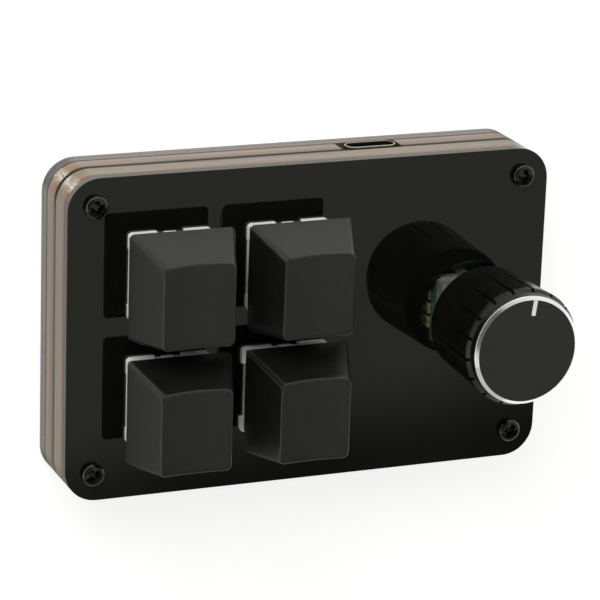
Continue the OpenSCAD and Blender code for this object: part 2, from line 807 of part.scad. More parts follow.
// Outer form of a cap; shrink takes it in all round for the hollow inside
module cap_form(shrink, roof) {
    mid_h = cap_mid_h - roof;
    foot_r = 0.8;
    top_r = 1.1;
    hull() {
        cap_slab(cap_w - 2 * shrink, cap_w - 2 * shrink, foot_r);
        cap_level(shrink, mid_h, cap_edge, 0.2, top_r);
        cap_level(shrink, mid_h, cap_edge / 3, 0, top_r);
        cap_level(shrink, mid_h, 0, -1.4 * cap_edge, top_r - cap_edge / 2);
    }
}

module key_cap(i) {
    roof = 1.7;
    dish_half = cap_top_w / 2;
    dish_r = (dish_half * dish_half + cap_dish * cap_dish) / (2 * cap_dish);
    post_z = housing_h + cap_post_gap - cap_gap;
    color([0.17, 0.17, 0.16])
    at_key(i) translate([0, 0, cap_gap]) {
        difference() {
            cap_form(0, 0);
            translate([0, -cap_top_shift, cap_mid_h]) rotate([90 - cap_tilt, 0, 0])
                translate([0, dish_r - cap_dish, -cap_w]) cylinder(r = dish_r, h = 2 * cap_w, $fn = 96);
            difference() {
                translate([0, 0, -slip]) cap_form(cap_wall, roof);
                translate([0, 0, post_z]) cylinder(d = cap_post_d, h = cap_h_front);
            }
            // hole for the stem's cross
            translate([0, 0, post_z - cut]) {
                centred_box(cross_w + slip, cross_t + slip, cross_grip + 2 * cut);
                centred_box(cross_t + slip, cross_w + slip, cross_grip + 2 * cut);
            }
        }
    }
}

// ---- encoder, measured from the upper side of the circuit board ----

module encoder_base() {
    color([0.1, 0.1, 0.1])
    at_encoder() difference() {
        centred_box(encoder_w, encoder_w, encoder_base_h);
        translate([0, 0, well_floor]) cylinder(r = well_r, h = encoder_base_h);
        // recesses for the cover's lugs
        for (s = [-1, 1]) translate([0, s * encoder_w / 2, -cut])
            centred_box(lug_w + 2 * slip, 2 * (encoder_sheet + slip), encoder_base_h + 2 * cut);
    }
}

module encoder_wafer() {
    color([0.15, 0.4, 0.3])
    at_encoder() translate([0, 0, e_wafer]) difference() {
        centred_box(encoder_w, encoder_w - 2 * (encoder_sheet + slip), encoder_wafer_h);
        translate([0, 0, -cut]) cylinder(d = tail_d + 4 * run_gap, h = encoder_wafer_h + 2 * cut);
    }
}

module encoder_cover() {
    inner = encoder_w - 2 * encoder_sheet;
    shaft_bore = shaft_d + 2 * slip;
    chamfer = 0.4;
    color([0.78, 0.78, 0.76])
    at_encoder() difference() {
        union() {
            translate([0, 0, e_cover]) centred_box(encoder_w, encoder_w, encoder_cover_h);
            translate([0, 0, e_top - cut]) cylinder(d = bushing_d, h = bushing_h + cut - chamfer);
            translate([0, 0, e_top + bushing_h - chamfer])
                cylinder(d1 = bushing_d, d2 = bushing_d - 2 * chamfer, h = chamfer);
            for (s = [-1, 1]) translate([0, s * (encoder_w - encoder_sheet) / 2, 0]) {
                translate([0, 0, e_wafer]) centred_box(flap_w, encoder_sheet, encoder_wafer_h + cut);
                translate([0, 0, -lug_len]) centred_box(lug_w, encoder_sheet, lug_len + e_wafer + cut);
            }
        }
        translate([0, 0, e_cover - cut]) centred_box(inner, inner, encoder_cover_h - encoder_sheet + cut);
        translate([0, 0, e_cover]) cylinder(d = shaft_bore, h = encoder_cover_h + bushing_h + cut);
    }
}

module encoder_terminals() {
    lift = 0.1;                          // keeps the wide part clear of the board
    module terminal() {
        translate([0, 0, lift]) centred_box(terminal_t, terminal_w, encoder_base_h - lift);
        translate([0, 0, -terminal_leg_len])
            centred_box(terminal_t, terminal_leg_w, terminal_leg_len + 2 * lift);
    }
    x = (encoder_w + terminal_t) / 2;
    color([0.75, 0.6, 0.4])
    at_encoder() {
        for (k = SIGNAL_ROWS) translate([-x, k * terminal_pitch, 0]) terminal();
        for (k = SWITCH_ROWS) translate([x, k * terminal_pitch, 0]) terminal();
    }
}

// Wiper disc: it turns with the shaft, which slides through it
module encoder_rotor() {
    color([0.85, 0.85, 0.8])
    at_encoder() translate([0, 0, e_cover + run_gap]) difference() {
        cylinder(r = rotor_r, h = rotor_h);
        translate([0, 0, -cut]) flatted(tail_d + 2 * slip, tail_flat, rotor_h + 2 * cut);
    }
}

// The shaft's lower end is flatted for the rotor, its upper end for the knob
module encoder_shaft() {
    shoulder = e_top - encoder_sheet + push_travel + run_gap;
    tail_len = shoulder - (e_cover - tail_drop);
    z_flat = e_top + shaft_len - shaft_flat_len;
    color([0.8, 0.8, 0.8])
    at_encoder() union() {
        translate([0, 0, e_cover - tail_drop]) flatted(tail_d, tail_flat + slip, tail_len + cut);
        translate([0, 0, shoulder]) cylinder(d = shaft_d, h = z_flat - shoulder);
        translate([0, 0, z_flat - cut]) flatted(shaft_d, shaft_flat, shaft_flat_len + cut);
    }
}

// Push button between the shaft and the snap dome
module encoder_button() {
    color([0.9, 0.9, 0.88])
    at_encoder() translate([0, 0, button_z]) cylinder(r = button_r, h = button_h);
}

// Snap dome: a thin shell with a flat crown on a sloping skirt
module encoder_dome() {
    foot_r = well_r - run_gap;
    crown_r = 1.1;
    color([0.8, 0.8, 0.8])
    at_encoder() translate([0, 0, well_floor])
    rotate_extrude()
        polygon([
            [foot_r - dome_t, 0], [foot_r, 0], [foot_r, dome_t], [crown_r, dome_h], [0, dome_h],
            [0, dome_h - dome_t], [crown_r - dome_t / 2, dome_h - dome_t]
        ]);
}

// ---- knob, measured from the top of the front plate ----

module knob_shell() {
    face_t = z_knob_top - core_top;
    r = knob_d / 2;
    groove_top = z_shoulder + shoulder_h;
    color([0.08, 0.08, 0.08])
    at_knob() difference() {
        rotate_extrude($fn = 128)
            polygon([
                [0, knob_gap], [knob_base_d / 2, knob_gap], [r, z_shoulder], [r - shoulder_in, groove_top],
                [bevel_r, z_bevel], [face_r, z_knob_top], [0, z_knob_top]
            ]);
        translate([0, 0, knob_gap - cut]) cylinder(d = core_d + 2 * slip, h = knob_h - face_t + cut);
        // the grooves are upright while the side slopes, so they grow shallow and end towards the foot
        for (k = [0 : groove_count - 1]) rotate(k * 360 / groove_count + groove_angle)
            translate([r - groove_depth, -groove_w / 2, knob_gap])
                cube([groove_depth + cut, groove_w, groove_top - knob_gap]);
        translate([0, 0, z_knob_top - pointer_t]) rotate(pointer_angle)
            translate([pointer_end - pointer_len - slip, -pointer_w / 2 - slip, 0])
                cube([pointer_len + 2 * slip, pointer_w + 2 * slip, pointer_t + cut]);
    }
}

// Plastic core that holds the shaft, hollow round the bushing
module knob_core() {
    z_flat = z_shaft_top - shaft_flat_len;
    color([0.12, 0.12, 0.12])
    at_knob() difference() {
        translate([0, 0, knob_gap]) cylinder(d = core_d, h = core_top - knob_gap);
        translate([0, 0, knob_gap - cut]) cylinder(d = recess_d, h = recess_top - knob_gap + cut);
        translate([0, 0, knob_gap]) cylinder(d = shaft_d + 2 * slip, h = z_flat - knob_gap + cut);
        translate([0, 0, z_flat]) flatted(shaft_d + 2 * slip, shaft_flat, shaft_flat_len + slip);
    }
}

module knob_pointer() {
    proud = 0.02;
    color([0.95, 0.95, 0.95])
    at_knob() translate([0, 0, z_knob_top - pointer_t]) rotate(pointer_angle)
        translate([pointer_end - pointer_len, -pointer_w / 2, 0])
            cube([pointer_len, pointer_w, pointer_t + proud]);
}

front_plate();
upper_frame();
lower_frame();
back_plate();
front_screws();
back_screws();
standoffs();
rubber_feet();
circuit_board();
usb_shell();
usb_tongue();
controller_chip();
memory_chip();
crystal();
voltage_regulator();
small_parts();
diodes();
key_cap(1);  // key_cap_1
key_cap(2);  // key_cap_2
key_cap(3);  // key_cap_3
key_cap(4);  // key_cap_4
switch_stem(1);  // switch_stem_1
switch_stem(2);  // switch_stem_2
switch_stem(3);  // switch_stem_3
switch_stem(4);  // switch_stem_4
switch_spring(1);  // switch_spring_1
switch_spring(2);  // switch_spring_2
switch_spring(3);  // switch_spring_3
switch_spring(4);  // switch_spring_4
switch_top(1);  // switch_top_1
switch_top(2);  // switch_top_2
switch_top(3);  // switch_top_3
switch_top(4);  // switch_top_4
switch_base(1);  // switch_base_1
switch_base(2);  // switch_base_2
switch_base(3);  // switch_base_3
switch_base(4);  // switch_base_4
switch_contacts(1);  // switch_contacts_1
switch_contacts(2);  // switch_contacts_2
switch_contacts(3);  // switch_contacts_3
switch_contacts(4);  // switch_contacts_4
encoder_base();
encoder_wafer();
encoder_cover();
encoder_terminals();
encoder_rotor();
encoder_shaft();
encoder_button();
encoder_dome();
knob_shell();
knob_core();
knob_pointer();
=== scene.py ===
"""Looks of the small desk keypad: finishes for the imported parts, detailed caps, knob and screws.

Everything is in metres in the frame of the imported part: the table is Z = 0, +Y is the socket edge.
"""
import json
import math

import bmesh
import bpy
from mathutils import Matrix, Vector


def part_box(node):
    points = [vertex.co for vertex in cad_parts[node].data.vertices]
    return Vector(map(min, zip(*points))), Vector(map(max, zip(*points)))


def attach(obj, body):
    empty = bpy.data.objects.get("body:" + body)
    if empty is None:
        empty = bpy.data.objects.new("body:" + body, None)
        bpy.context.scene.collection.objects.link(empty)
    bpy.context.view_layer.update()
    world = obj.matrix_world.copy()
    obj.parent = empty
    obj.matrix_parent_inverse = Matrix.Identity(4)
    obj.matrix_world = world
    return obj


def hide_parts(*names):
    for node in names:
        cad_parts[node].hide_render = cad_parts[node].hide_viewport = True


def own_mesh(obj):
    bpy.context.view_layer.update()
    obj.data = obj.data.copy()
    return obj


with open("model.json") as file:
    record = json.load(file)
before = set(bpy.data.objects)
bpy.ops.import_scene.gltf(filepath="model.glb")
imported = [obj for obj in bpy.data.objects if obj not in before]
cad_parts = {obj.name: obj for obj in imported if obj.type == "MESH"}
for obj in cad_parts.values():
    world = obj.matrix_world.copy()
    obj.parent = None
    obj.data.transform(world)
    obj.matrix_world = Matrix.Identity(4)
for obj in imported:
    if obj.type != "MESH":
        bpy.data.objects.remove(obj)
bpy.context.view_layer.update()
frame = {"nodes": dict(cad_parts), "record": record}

MM = 0.001
KEYS = (1, 2, 3, 4)
scene = bpy.context.scene


# ---------------------------------------------------------------- sizes that the frame doesn't give

CAP_TOP_W = 12.3 * MM          # flat sides of a cap meet the softened edge here
CAP_TOP_D = 14.0 * MM
CAP_FOOT_R = 0.8 * MM          # corner radius at the skirt
CAP_TOP_R = 1.1 * MM           # corner radius at the top
CAP_SHIFT = 1.3 * MM           # top set towards the front edge
CAP_H = 9.1 * MM               # at the sides of the top
CAP_EDGE_R = 0.38 * MM
CAP_DISH = 0.6 * MM
CAP_DISH_HALF = 6.05 * MM
CAP_LIP = 0.12 * MM            # chamfer at the skirt's foot
CAP_WALL = 1.3 * MM
CAP_ROOF = 1.7 * MM
CAP_ROOF_CORNER = 0.6 * MM     # slope between the walls and the roof
CAP_HOLLOW_LEAN = 1.12         # the inside leans in so much more than the outside
CAP_POST_INTO = 0.3 * MM       # post's end in the roof
CAP_POST_R = 2.7 * MM
CAP_POST_UP = 0.3 * MM         # post's end above the skirt
CROSS_LONG = 4.05 * MM
CROSS_WIDE = 1.25 * MM
CROSS_DEEP = 3.5 * MM

KNOB_BASE_R = 9.4 * MM
KNOB_R = 10.0 * MM
KNOB_SHOULDER_H = 0.7 * MM
KNOB_SHOULDER_IN = 0.55 * MM
KNOB_NECK_H = 1.2 * MM
KNOB_NECK_IN = 0.2 * MM
KNOB_BEVEL_W = 0.55 * MM
KNOB_BEVEL_H = 0.5 * MM
KNOB_LIP = 0.15 * MM           # chamfer at the foot
KNOB_FACE_SUNK = 0.03 * MM     # face under the top of the bevel
KNOB_FACE_IN = 0.02 * MM       # face inside the bevel's inner edge
KNOB_BORE_R = 7.85 * MM
KNOB_FACE_T = 1.6 * MM
GROOVES = 17
GROOVE_FIRST = 18.0            # degrees
GROOVE_HALF_W = 0.25 * MM
GROOVE_DEPTH = 0.5 * MM        # at the shoulder; the side slopes, so a groove runs out towards the foot

SCREW_HEAD_R = 1.95 * MM
SCREW_HEAD_H = 1.3 * MM
SCREW_SHANK_R = 1.0 * MM
SCREW_HEAD_EDGE = [            # from the top of the wall to the crown: (inset, height) in mm
    (0.0, 0.72), (0.005, 0.78), (0.025, 0.84), (0.055, 0.875), (0.19, 1.01),
    (0.22, 1.035), (0.30, 1.09), (0.40, 1.14), (0.50, 1.175),
]
SCREW_RECESS_LONG = 2.6 * MM
SCREW_RECESS_WIDE = 1.0 * MM
SCREW_RECESS_DEEP = 1.0 * MM
SCREW_TURNS = (38, 12, 64, 83)  # degrees


# ---------------------------------------------------------------- node materials

class Nodes:
    """A node tree with short calls that add nodes and wire them; a value is a socket or a number."""

    def __init__(self, tree):
        self.tree = tree

    def node(self, kind, **values):
        """New node; each value sets an input of that name, or else a property."""
        made = self.tree.nodes.new(kind)
        for key, value in values.items():
            if key in made.inputs:
                made.inputs[key].default_value = value
            else:
                setattr(made, key, value)
        return made

    def link(self, a, b):
        self.tree.links.new(a, b)

    def feed(self, value, socket):
        """Wires a socket in, or sets a number or a colour."""
        if isinstance(value, bpy.types.NodeSocket):
            self.link(value, socket)
        elif isinstance(value, (int, float)):
            socket.default_value = value
        else:
            socket.default_value = (*value, 1.0)

    def split(self, vector):
        """Sockets "X", "Y" and "Z" of a vector."""
        made = self.node("ShaderNodeSeparateXYZ")
        self.link(vector, made.inputs[0])
        return made.outputs

    def math(self, operation, first, second=None):
        made = self.node("ShaderNodeMath", operation=operation)
        for socket, value in zip(made.inputs, (first, second)):
            if value is not None:
                self.feed(value, socket)
        return made.outputs[0]

    def dot(self, vector, direction):
        """How far a vector reaches along a fixed direction."""
        made = self.node("ShaderNodeVectorMath", operation="DOT_PRODUCT")
        self.link(vector, made.inputs[0])
        made.inputs[1].default_value = direction
        return made.outputs["Value"]

    def mix(self, kind, factor, below, above):
        """Mixes two colours."""
        made = self.node("ShaderNodeMix", data_type="RGBA", blend_type=kind)
        for value, socket in ((factor, made.inputs["Factor"]), (below, made.inputs[6]), (above, made.inputs[7])):
            self.feed(value, socket)
        return made.outputs[2]

    def smooth(self, value, low, high, start=0.0, end=1.0):
        """start below low, then a smooth step to end at high."""
        made = self.node("ShaderNodeMapRange", interpolation_type="SMOOTHSTEP")
        for key, number in (("From Min", low), ("From Max", high), ("To Min", start), ("To Max", end)):
            made.inputs[key].default_value = number
        self.link(value, made.inputs["Value"])
        return made.outputs["Result"]

    def beyond(self, value, edge, soft):
        """0 where the size of a value is under edge, rising to 1 over soft."""
        return self.smooth(self.math("ABSOLUTE", value), edge, edge + soft)

    def ramp(self, fac, stops):
        """Colour ramp: stops are (place, grey or colour)."""
        made = self.node("ShaderNodeValToRGB")
        while len(made.color_ramp.elements) < len(stops):
            made.color_ramp.elements.new(0.5)
        for element, (place, value) in zip(made.color_ramp.elements, stops):
            element.position = place
            color = (value,) * 3 if isinstance(value, (int, float)) else value
            element.color = (*color, 1.0)
        self.link(fac, made.inputs["Fac"])
        return made.outputs["Color"]


class Shader(Nodes):
    """One procedural material: a Principled shader with noises wired into it."""

    def __init__(self, name, color, rough, metal=0.0, ior=1.5):
        self.material = bpy.data.materials.new(name)
        self.material.use_nodes = True
        super().__init__(self.material.node_tree)
        self.principled = self.tree.nodes["Principled BSDF"]
        self.set("Base Color", (*color, 1.0))
        self.set("Roughness", rough)
        self.set("Metallic", metal)
        self.set("IOR", ior)
        self.coords = None

    def set(self, socket, value):
        self.principled.inputs[socket].default_value = value

    def position(self, stretch=(1, 1, 1), turn=(0, 0, 0)):
        """Object coordinates, in metres, scaled by stretch."""
        if self.coords is None:
            self.coords = self.node("ShaderNodeTexCoord")
        mapping = self.node("ShaderNodeMapping")
        mapping.inputs["Scale"].default_value = stretch
        mapping.inputs["Rotation"].default_value = turn
        self.link(self.coords.outputs["Object"], mapping.inputs["Vector"])
        return mapping.outputs["Vector"]

    def noise(self, grain, detail=3.0, rough=0.55, stretch=(1, 1, 1)):
        """Noise whose features measure about grain metres."""
        made = self.node("ShaderNodeTexNoise", Scale=1.0 / grain, Detail=detail, Roughness=rough)
        self.link(self.position(stretch), made.inputs["Vector"])
        return made.outputs["Fac"]

    def paint(self, color):
        """Wires a colour into the base colour, in place of what was there."""
        self.link(color, self.principled.inputs["Base Color"])

    def painted(self):
        """The colour that is wired into the base colour."""
        return self.principled.inputs["Base Color"].links[0].from_socket

    def vary_color(self, fac, dark, light, low=0.35, high=0.65):
        self.paint(self.ramp(fac, [(low, dark), (high, light)]))

    def vary_rough(self, fac, low_value, high_value, low=0.3, high=0.7):
        made = self.node("ShaderNodeMapRange")
        limits = {"From Min": low, "From Max": high, "To Min": low_value, "To Max": high_value}
        for key, value in limits.items():
            made.inputs[key].default_value = value
        self.link(fac, made.inputs["Value"])
        self.link(made.outputs["Result"], self.principled.inputs["Roughness"])

    def bump(self, fac, height, strength=1.0):
        made = self.node("ShaderNodeBump", Strength=strength, Distance=height)
        self.link(fac, made.inputs["Height"])
        self.link(made.outputs["Normal"], self.principled.inputs["Normal"])


def moulded(name, color, rough, grain=0.15 * MM, height=0.006 * MM, spread=0.12):
    """Moulded plastic: fine spark-eroded grain, slow change of tone, uneven gloss."""
    made = Shader(name, color, rough)
    tone = made.noise(4 * MM)
    made.vary_color(tone, tuple(c * (1 - spread) for c in color), tuple(c * (1 + spread) for c in color))
    made.vary_rough(made.noise(1.5 * MM), rough * 0.9, rough * 1.1)
    made.bump(made.noise(grain, detail=4.0), height)
    return made


def metal(name, color, rough, grain=(0.05 * MM, 2.0 * MM), height=0.0015 * MM, along="Z"):
    """Drawn, turned or rolled metal: fine lines along one axis."""
    made = Shader(name, color, rough, metal=1.0)
    fine, coarse = grain
    stretch = [1.0, 1.0, 1.0]
    stretch["XYZ".index(along)] = fine / coarse
    lines = made.noise(fine * 4, detail=2.0, stretch=stretch)
    made.vary_rough(lines, rough * 0.75, rough * 1.3)
    made.vary_color(made.noise(3 * MM), tuple(c * 0.93 for c in color), color)
    made.bump(lines, height)
    return made


def gloss_black(edge_color):
    """High-gloss sheet, nearly a mirror; its cut edge shows the clear sheet behind the black face."""
    made = Shader("front_gloss_black", (0.004, 0.004, 0.0036), 0.02, ior=1.49)
    tone = made.ramp(made.noise(14 * MM), [(0.35, (0.0036, 0.0036, 0.0032)), (0.65, (0.0044, 0.0044, 0.004))])
    normal = made.split(made.node("ShaderNodeNewGeometry").outputs["Normal"])
    upright = made.math("LESS_THAN", made.math("ABSOLUTE", normal["Z"]), 0.5)
    place = made.split(made.position())
    side_x = made.beyond(place["X"], CORNER_X + PLATE_EDGE_IN, PLATE_EDGE_SOFT)
    side_y = made.beyond(place["Y"], CORNER_Y + PLATE_EDGE_IN, PLATE_EDGE_SOFT)
    edge = made.math("MULTIPLY", upright, made.math("MAXIMUM", side_x, side_y))
    streaks = made.ramp(made.noise(0.5 * MM, stretch=(0.03, 0.03, 1)), [(0.3, 0.85), (0.7, 1.1)])
    edge_tone = made.mix("MULTIPLY", 1.0, edge_color, streaks)
    made.paint(made.mix("MIX", edge, tone, edge_tone))
    made.vary_rough(made.noise(3 * MM, detail=6.0), 0.012, 0.03)
    return made


def band_color(made, place, stops):
    """Colours laid in bands over the height: stops are (height, colour), from the lowest up."""
    low, high = stops[0][0], stops[-1][0]
    height = made.node("ShaderNodeMapRange")
    height.inputs["From Min"].default_value = low
    height.inputs["From Max"].default_value = high
    made.link(place["Z"], height.inputs["Value"])
    return made.ramp(height.outputs["Result"], [((z - low) / (high - low), value) for z, value in stops])


def clear_sheet(name, stops, rough, corner_shade):
    """Tinted sheet seen on its polished edge: long bands between dark seams, painted shade in the round corners.

    Returns the shader, the place on the sheet and a factor that is 1 in the round corners.
    """
    made = Shader(name, (0.3, 0.26, 0.22), rough, ior=1.49)
    place = made.split(made.position())
    color = band_color(made, place, stops)
    streaks = made.ramp(made.noise(0.7 * MM, detail=3.0, stretch=(0.02, 0.02, 1)), [(0.3, 0.80), (0.7, 1.12)])
    color = made.mix("MULTIPLY", 1.0, color, streaks)
    corner = made.math("MULTIPLY", made.beyond(place["X"], CORNER_X, CORNER_SOFT),
                       made.beyond(place["Y"], CORNER_Y, CORNER_SOFT))
    # painted shade: the round corners are darkened, the smoky sheet's towards brown
    corner_shaded = made.mix("MULTIPLY", 1.0, color, corner_shade)
    made.paint(made.mix("MIX", made.math("MULTIPLY", corner, 0.8), color, corner_shaded))
    made.vary_rough(made.noise(3 * MM, detail=2.0), rough * 0.85, rough * 1.2)
    made.set("Specular IOR Level", 0.2)
    return made, place, corner


def smoky_sheet():
    """The two frames: painted glints in the corners, painted shade in the socket edge's seam and on the slot's
    brown walls.
    """
    made, place, corner = clear_sheet("smoky_clear_sheet", SMOKY_STOPS, 0.14, (0.80, 0.68, 0.52))
    aside = made.math("SUBTRACT", made.math("ABSOLUTE", place["X"]), made.math("ABSOLUTE", place["Y"]))
    aside = made.math("SUBTRACT", aside, CORNER_X - CORNER_Y)
    diagonal = made.math("SUBTRACT", 1.0, made.beyond(aside, *GLINT_WIDTH))
    rays = made.ramp(made.noise(0.5 * MM, detail=2.0, rough=0.6, stretch=(1, 1, 0.2)), [(0.35, 0.1), (0.65, 1.0)])
    glint = made.math("MULTIPLY", made.math("MULTIPLY", corner, diagonal), rays)
    # painted shade: the gap between the sheets along the socket edge is painted near-black
    seam = made.math("SUBTRACT", place["Z"], FRAME_SEAM - EDGE_SEAM_SHADE_DROP)
    seam = made.math("SUBTRACT", 1.0, made.beyond(seam, *EDGE_SEAM_SHADE_WIDTH))
    glint = made.math("MULTIPLY", glint, made.math("SUBTRACT", 1.0, seam))
    color = made.mix("MIX", glint, made.painted(), (0.86, 0.80, 0.70))
    back_edge = made.smooth(place["Y"], CORNER_Y - BACK_EDGE_SOFT, CORNER_Y + BACK_EDGE_SOFT)
    color = made.mix("MIX", made.math("MULTIPLY", seam, back_edge), color, (0.012, 0.006, 0.003))
    # painted shade: the walls of the slot round the socket, in the lower frame, are painted dark brown
    slot = made.math("SUBTRACT", place["X"], SOCKET_X)
    slot = made.math("LESS_THAN", made.math("ABSOLUTE", slot), SLOT_HALF)
    lower = made.math("LESS_THAN", place["Z"], FRAME_SEAM)
    wall = made.math("MULTIPLY", made.math("MULTIPLY", slot, lower), back_edge)
    made.paint(made.mix("MIX", wall, color, (0.075, 0.042, 0.024)))
    return made


def board():
    """Solder resist over copper: the tracks show as slightly lighter lines."""
    made = Shader("board_green", (0.006, 0.06, 0.035), 0.3)
    tracks = made.node("ShaderNodeTexBrick", Scale=1.0 / (1.6 * MM), offset=0.5)
    tracks.inputs["Mortar Size"].default_value = 0.12
    tracks.inputs["Mortar Smooth"].default_value = 0.1
    tracks.inputs["Color1"].default_value = (0.005, 0.052, 0.03, 1)
    tracks.inputs["Color2"].default_value = (0.004, 0.044, 0.026, 1)
    tracks.inputs["Mortar"].default_value = (0.008, 0.085, 0.05, 1)
    made.link(made.position(turn=(0, 0, math.radians(45))), tracks.inputs["Vector"])
    made.paint(tracks.outputs["Color"])
    made.bump(tracks.outputs["Fac"], 0.02 * MM, strength=0.6)
    made.vary_rough(made.noise(2 * MM), 0.22, 0.36)
    return made


def knob_skin(name, dark, light, rough):
    """Black anodised aluminium with fine blasting."""
    made = Shader(name, light, rough)
    made.vary_color(made.noise(5 * MM), dark, light)
    made.vary_rough(made.noise(1.2 * MM), rough * 0.9, rough * 1.15)
    made.bump(made.noise(0.09 * MM, detail=3.0), 0.0006 * MM)
    return made


def cap_skin():
    """Satin black cap: fine grain all over, gloss that varies a little at random."""
    made = Shader("cap_satin_black", (0.0075, 0.0075, 0.007), 0.3, ior=1.63)
    made.vary_color(made.noise(3 * MM), (0.0068, 0.0068, 0.0063), (0.0082, 0.0082, 0.0076))
    made.vary_rough(made.noise(2.5 * MM), 0.27, 0.34)
    made.bump(made.noise(0.13 * MM, detail=4.0), 0.005 * MM)
    return made


def socket_shell(middle, half_w, radius, mouth):
    """Tinned steel shell with painted shade, near-black inside and dark brown outside: its mouth reads black
    within a bright rim.
    """
    made = metal("socket_tinned_steel", (1.0, 0.96, 0.90), 0.35, along="Y")
    place = made.split(made.position())
    across = made.math("ABSOLUTE", made.math("SUBTRACT", place["X"], middle.x))
    across = made.math("MAXIMUM", made.math("SUBTRACT", across, half_w - radius), 0.0)
    upward = made.math("SUBTRACT", place["Z"], middle.z)
    squares = made.math("ADD", made.math("MULTIPLY", across, across), made.math("MULTIPLY", upward, upward))
    # painted shade inside the shell's mouth
    inner = made.math("LESS_THAN", made.math("SQRT", squares), radius - SOCKET_RIM_T)
    rim = made.math("GREATER_THAN", place["Y"], mouth - SOCKET_RIM_DEEP)
    # painted shade on the outside of the shell, behind the bright front rim
    shaded_outside = made.mix("MIX", rim, (0.10, 0.07, 0.045), made.painted())
    made.paint(made.mix("MIX", inner, shaded_outside, (0.012, 0.012, 0.012)))
    made.set("Metallic", 0.6)
    return made


BACK_LOW, BACK_HIGH = (corner.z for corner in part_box("back_plate"))
FRAME_LOW, FRAME_SEAM = (corner.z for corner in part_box("lower_frame"))
FRAME_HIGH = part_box("upper_frame")[1].z
CORNER_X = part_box("back_plate")[1].x - 5.5 * MM      # where the round corners begin
CORNER_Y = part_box("back_plate")[1].y - 5.5 * MM
CORNER_SOFT = 2 * MM           # over this length the painted shade of the corners fades in
PLATE_EDGE_IN = 1 * MM         # the front plate's cut edge starts this far past a corner's start
PLATE_EDGE_SOFT = 0.5 * MM
SEAM = 0.16 * MM               # half of a dark seam between two sheets
EDGE_SEAM_SHADE_DROP = 0.2 * MM      # middle of the painted shade of the seam on the socket edge, under the sheets' joint
EDGE_SEAM_SHADE_WIDTH = (0.36 * MM, 0.3 * MM)              # half width of that painted shade, and its soft side
GLINT_WIDTH = (0.2 * MM, 2.2 * MM)                   # the same of the glint across a corner's diagonal
BACK_EDGE_SOFT = 3 * MM        # half the length over which a corner turns into the socket edge
SOCKET_RIM_T = 0.2 * MM
SOCKET_RIM_DEEP = 0.06 * MM    # bright front of the rim
shell_low, shell_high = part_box("usb_shell")
tongue_low, tongue_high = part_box("usb_tongue")
SHELL_HALF = (shell_high.x - shell_low.x) / 2
SHELL_R = 1.55 * MM            # corner radius of the shell's section
SOCKET_X = (shell_low.x + shell_high.x) / 2
SLOT_HALF = SHELL_HALF + 0.9 * MM
SMOKY_STOPS = [
    (FRAME_LOW, (0.105, 0.0675, 0.0375)),
    (FRAME_LOW + SEAM, (0.21, 0.158, 0.112)),
    (FRAME_LOW + 3 * SEAM, (0.50, 0.41, 0.355)),
    (FRAME_LOW + 2.2 * MM, (0.46, 0.365, 0.315)),
    (FRAME_SEAM - 1.2 * MM, (0.35, 0.265, 0.215)),
    (FRAME_SEAM - 2 * SEAM, (0.24, 0.17, 0.115)),
    (FRAME_SEAM - SEAM, (0.06, 0.045, 0.03)),
    (FRAME_SEAM + SEAM / 2, (0.07, 0.055, 0.04)),
    (FRAME_SEAM + 2 * SEAM, (0.31, 0.28, 0.225)),
    (FRAME_SEAM + 1.0 * MM, (0.40, 0.37, 0.305)),
    (FRAME_SEAM + 1.8 * MM, (0.43, 0.375, 0.31)),
    (FRAME_SEAM + 3.4 * MM, (0.47, 0.375, 0.315)),
    (FRAME_HIGH - 2 * SEAM, (0.3, 0.24, 0.195)),
    (FRAME_HIGH, (0.15, 0.112, 0.0825)),
]
GREY_STOPS = [
    (BACK_LOW, (0.261, 0.246, 0.232)),
    (BACK_LOW + 0.5 * MM, (0.377, 0.348, 0.326)),
    (BACK_LOW + 1.2 * MM, (0.29, 0.261, 0.246)),
    (BACK_LOW + 1.9 * MM, (0.406, 0.37, 0.341)),
    (BACK_HIGH - 3 * SEAM, (0.348, 0.312, 0.283)),
    (BACK_HIGH - SEAM, (0.145, 0.123, 0.102)),
    (BACK_HIGH, (0.0798, 0.058, 0.0435)),
]

front_black = gloss_black((0.20, 0.18, 0.165))
smoky = smoky_sheet()
grey, _, _ = clear_sheet("grey_clear_sheet", GREY_STOPS, 0.3, (0.42, 0.44, 0.46))
caps = cap_skin()
knob_black = knob_skin("knob_black_anodised", (0.003, 0.003, 0.0028), (0.0045, 0.0045, 0.0042), 0.26)
knob_black.set("IOR", 1.45)
knob_face = knob_skin("knob_face_anodised", (0.018, 0.018, 0.0166), (0.0205, 0.0205, 0.019), 0.36)
bright_cut = metal("bright_cut_aluminium", (0.93, 0.93, 0.93), 0.12)
white_line = moulded("pointer_fill_white", (0.86, 0.86, 0.86), 0.45)
screw_black = knob_skin("screw_black_oxide", (0.002, 0.002, 0.002), (0.0035, 0.0035, 0.0032), 0.1)
screw_black.set("IOR", 1.6)
brass = metal("standoff_brass", (0.70, 0.50, 0.22), 0.25)
rubber = moulded("foot_rubber", (0.03, 0.03, 0.03), 0.75, grain=0.3 * MM, height=0.02 * MM)
green_board = board()
tinned = metal("tinned_lid", (0.72, 0.72, 0.71), 0.24, along="Y")
socket_steel = socket_shell((tongue_low + tongue_high) / 2, SHELL_HALF, SHELL_R, shell_high.y)
socket_black = moulded("socket_black", (0.004, 0.004, 0.004), 0.5)
chip_black = moulded("chip_epoxy", (0.018, 0.018, 0.018), 0.6, grain=0.08 * MM)
ceramic = moulded("chip_ceramic", (0.28, 0.20, 0.13), 0.5)
amber = moulded("diode_glass_amber", (0.45, 0.13, 0.04), 0.12)
stem_brown = moulded("stem_brown", (0.10, 0.04, 0.018), 0.3)
spring_wire = metal("spring_wire", (0.70, 0.70, 0.70), 0.2)
white = moulded("switch_white", (0.90, 0.90, 0.86), 0.38, spread=0.05)
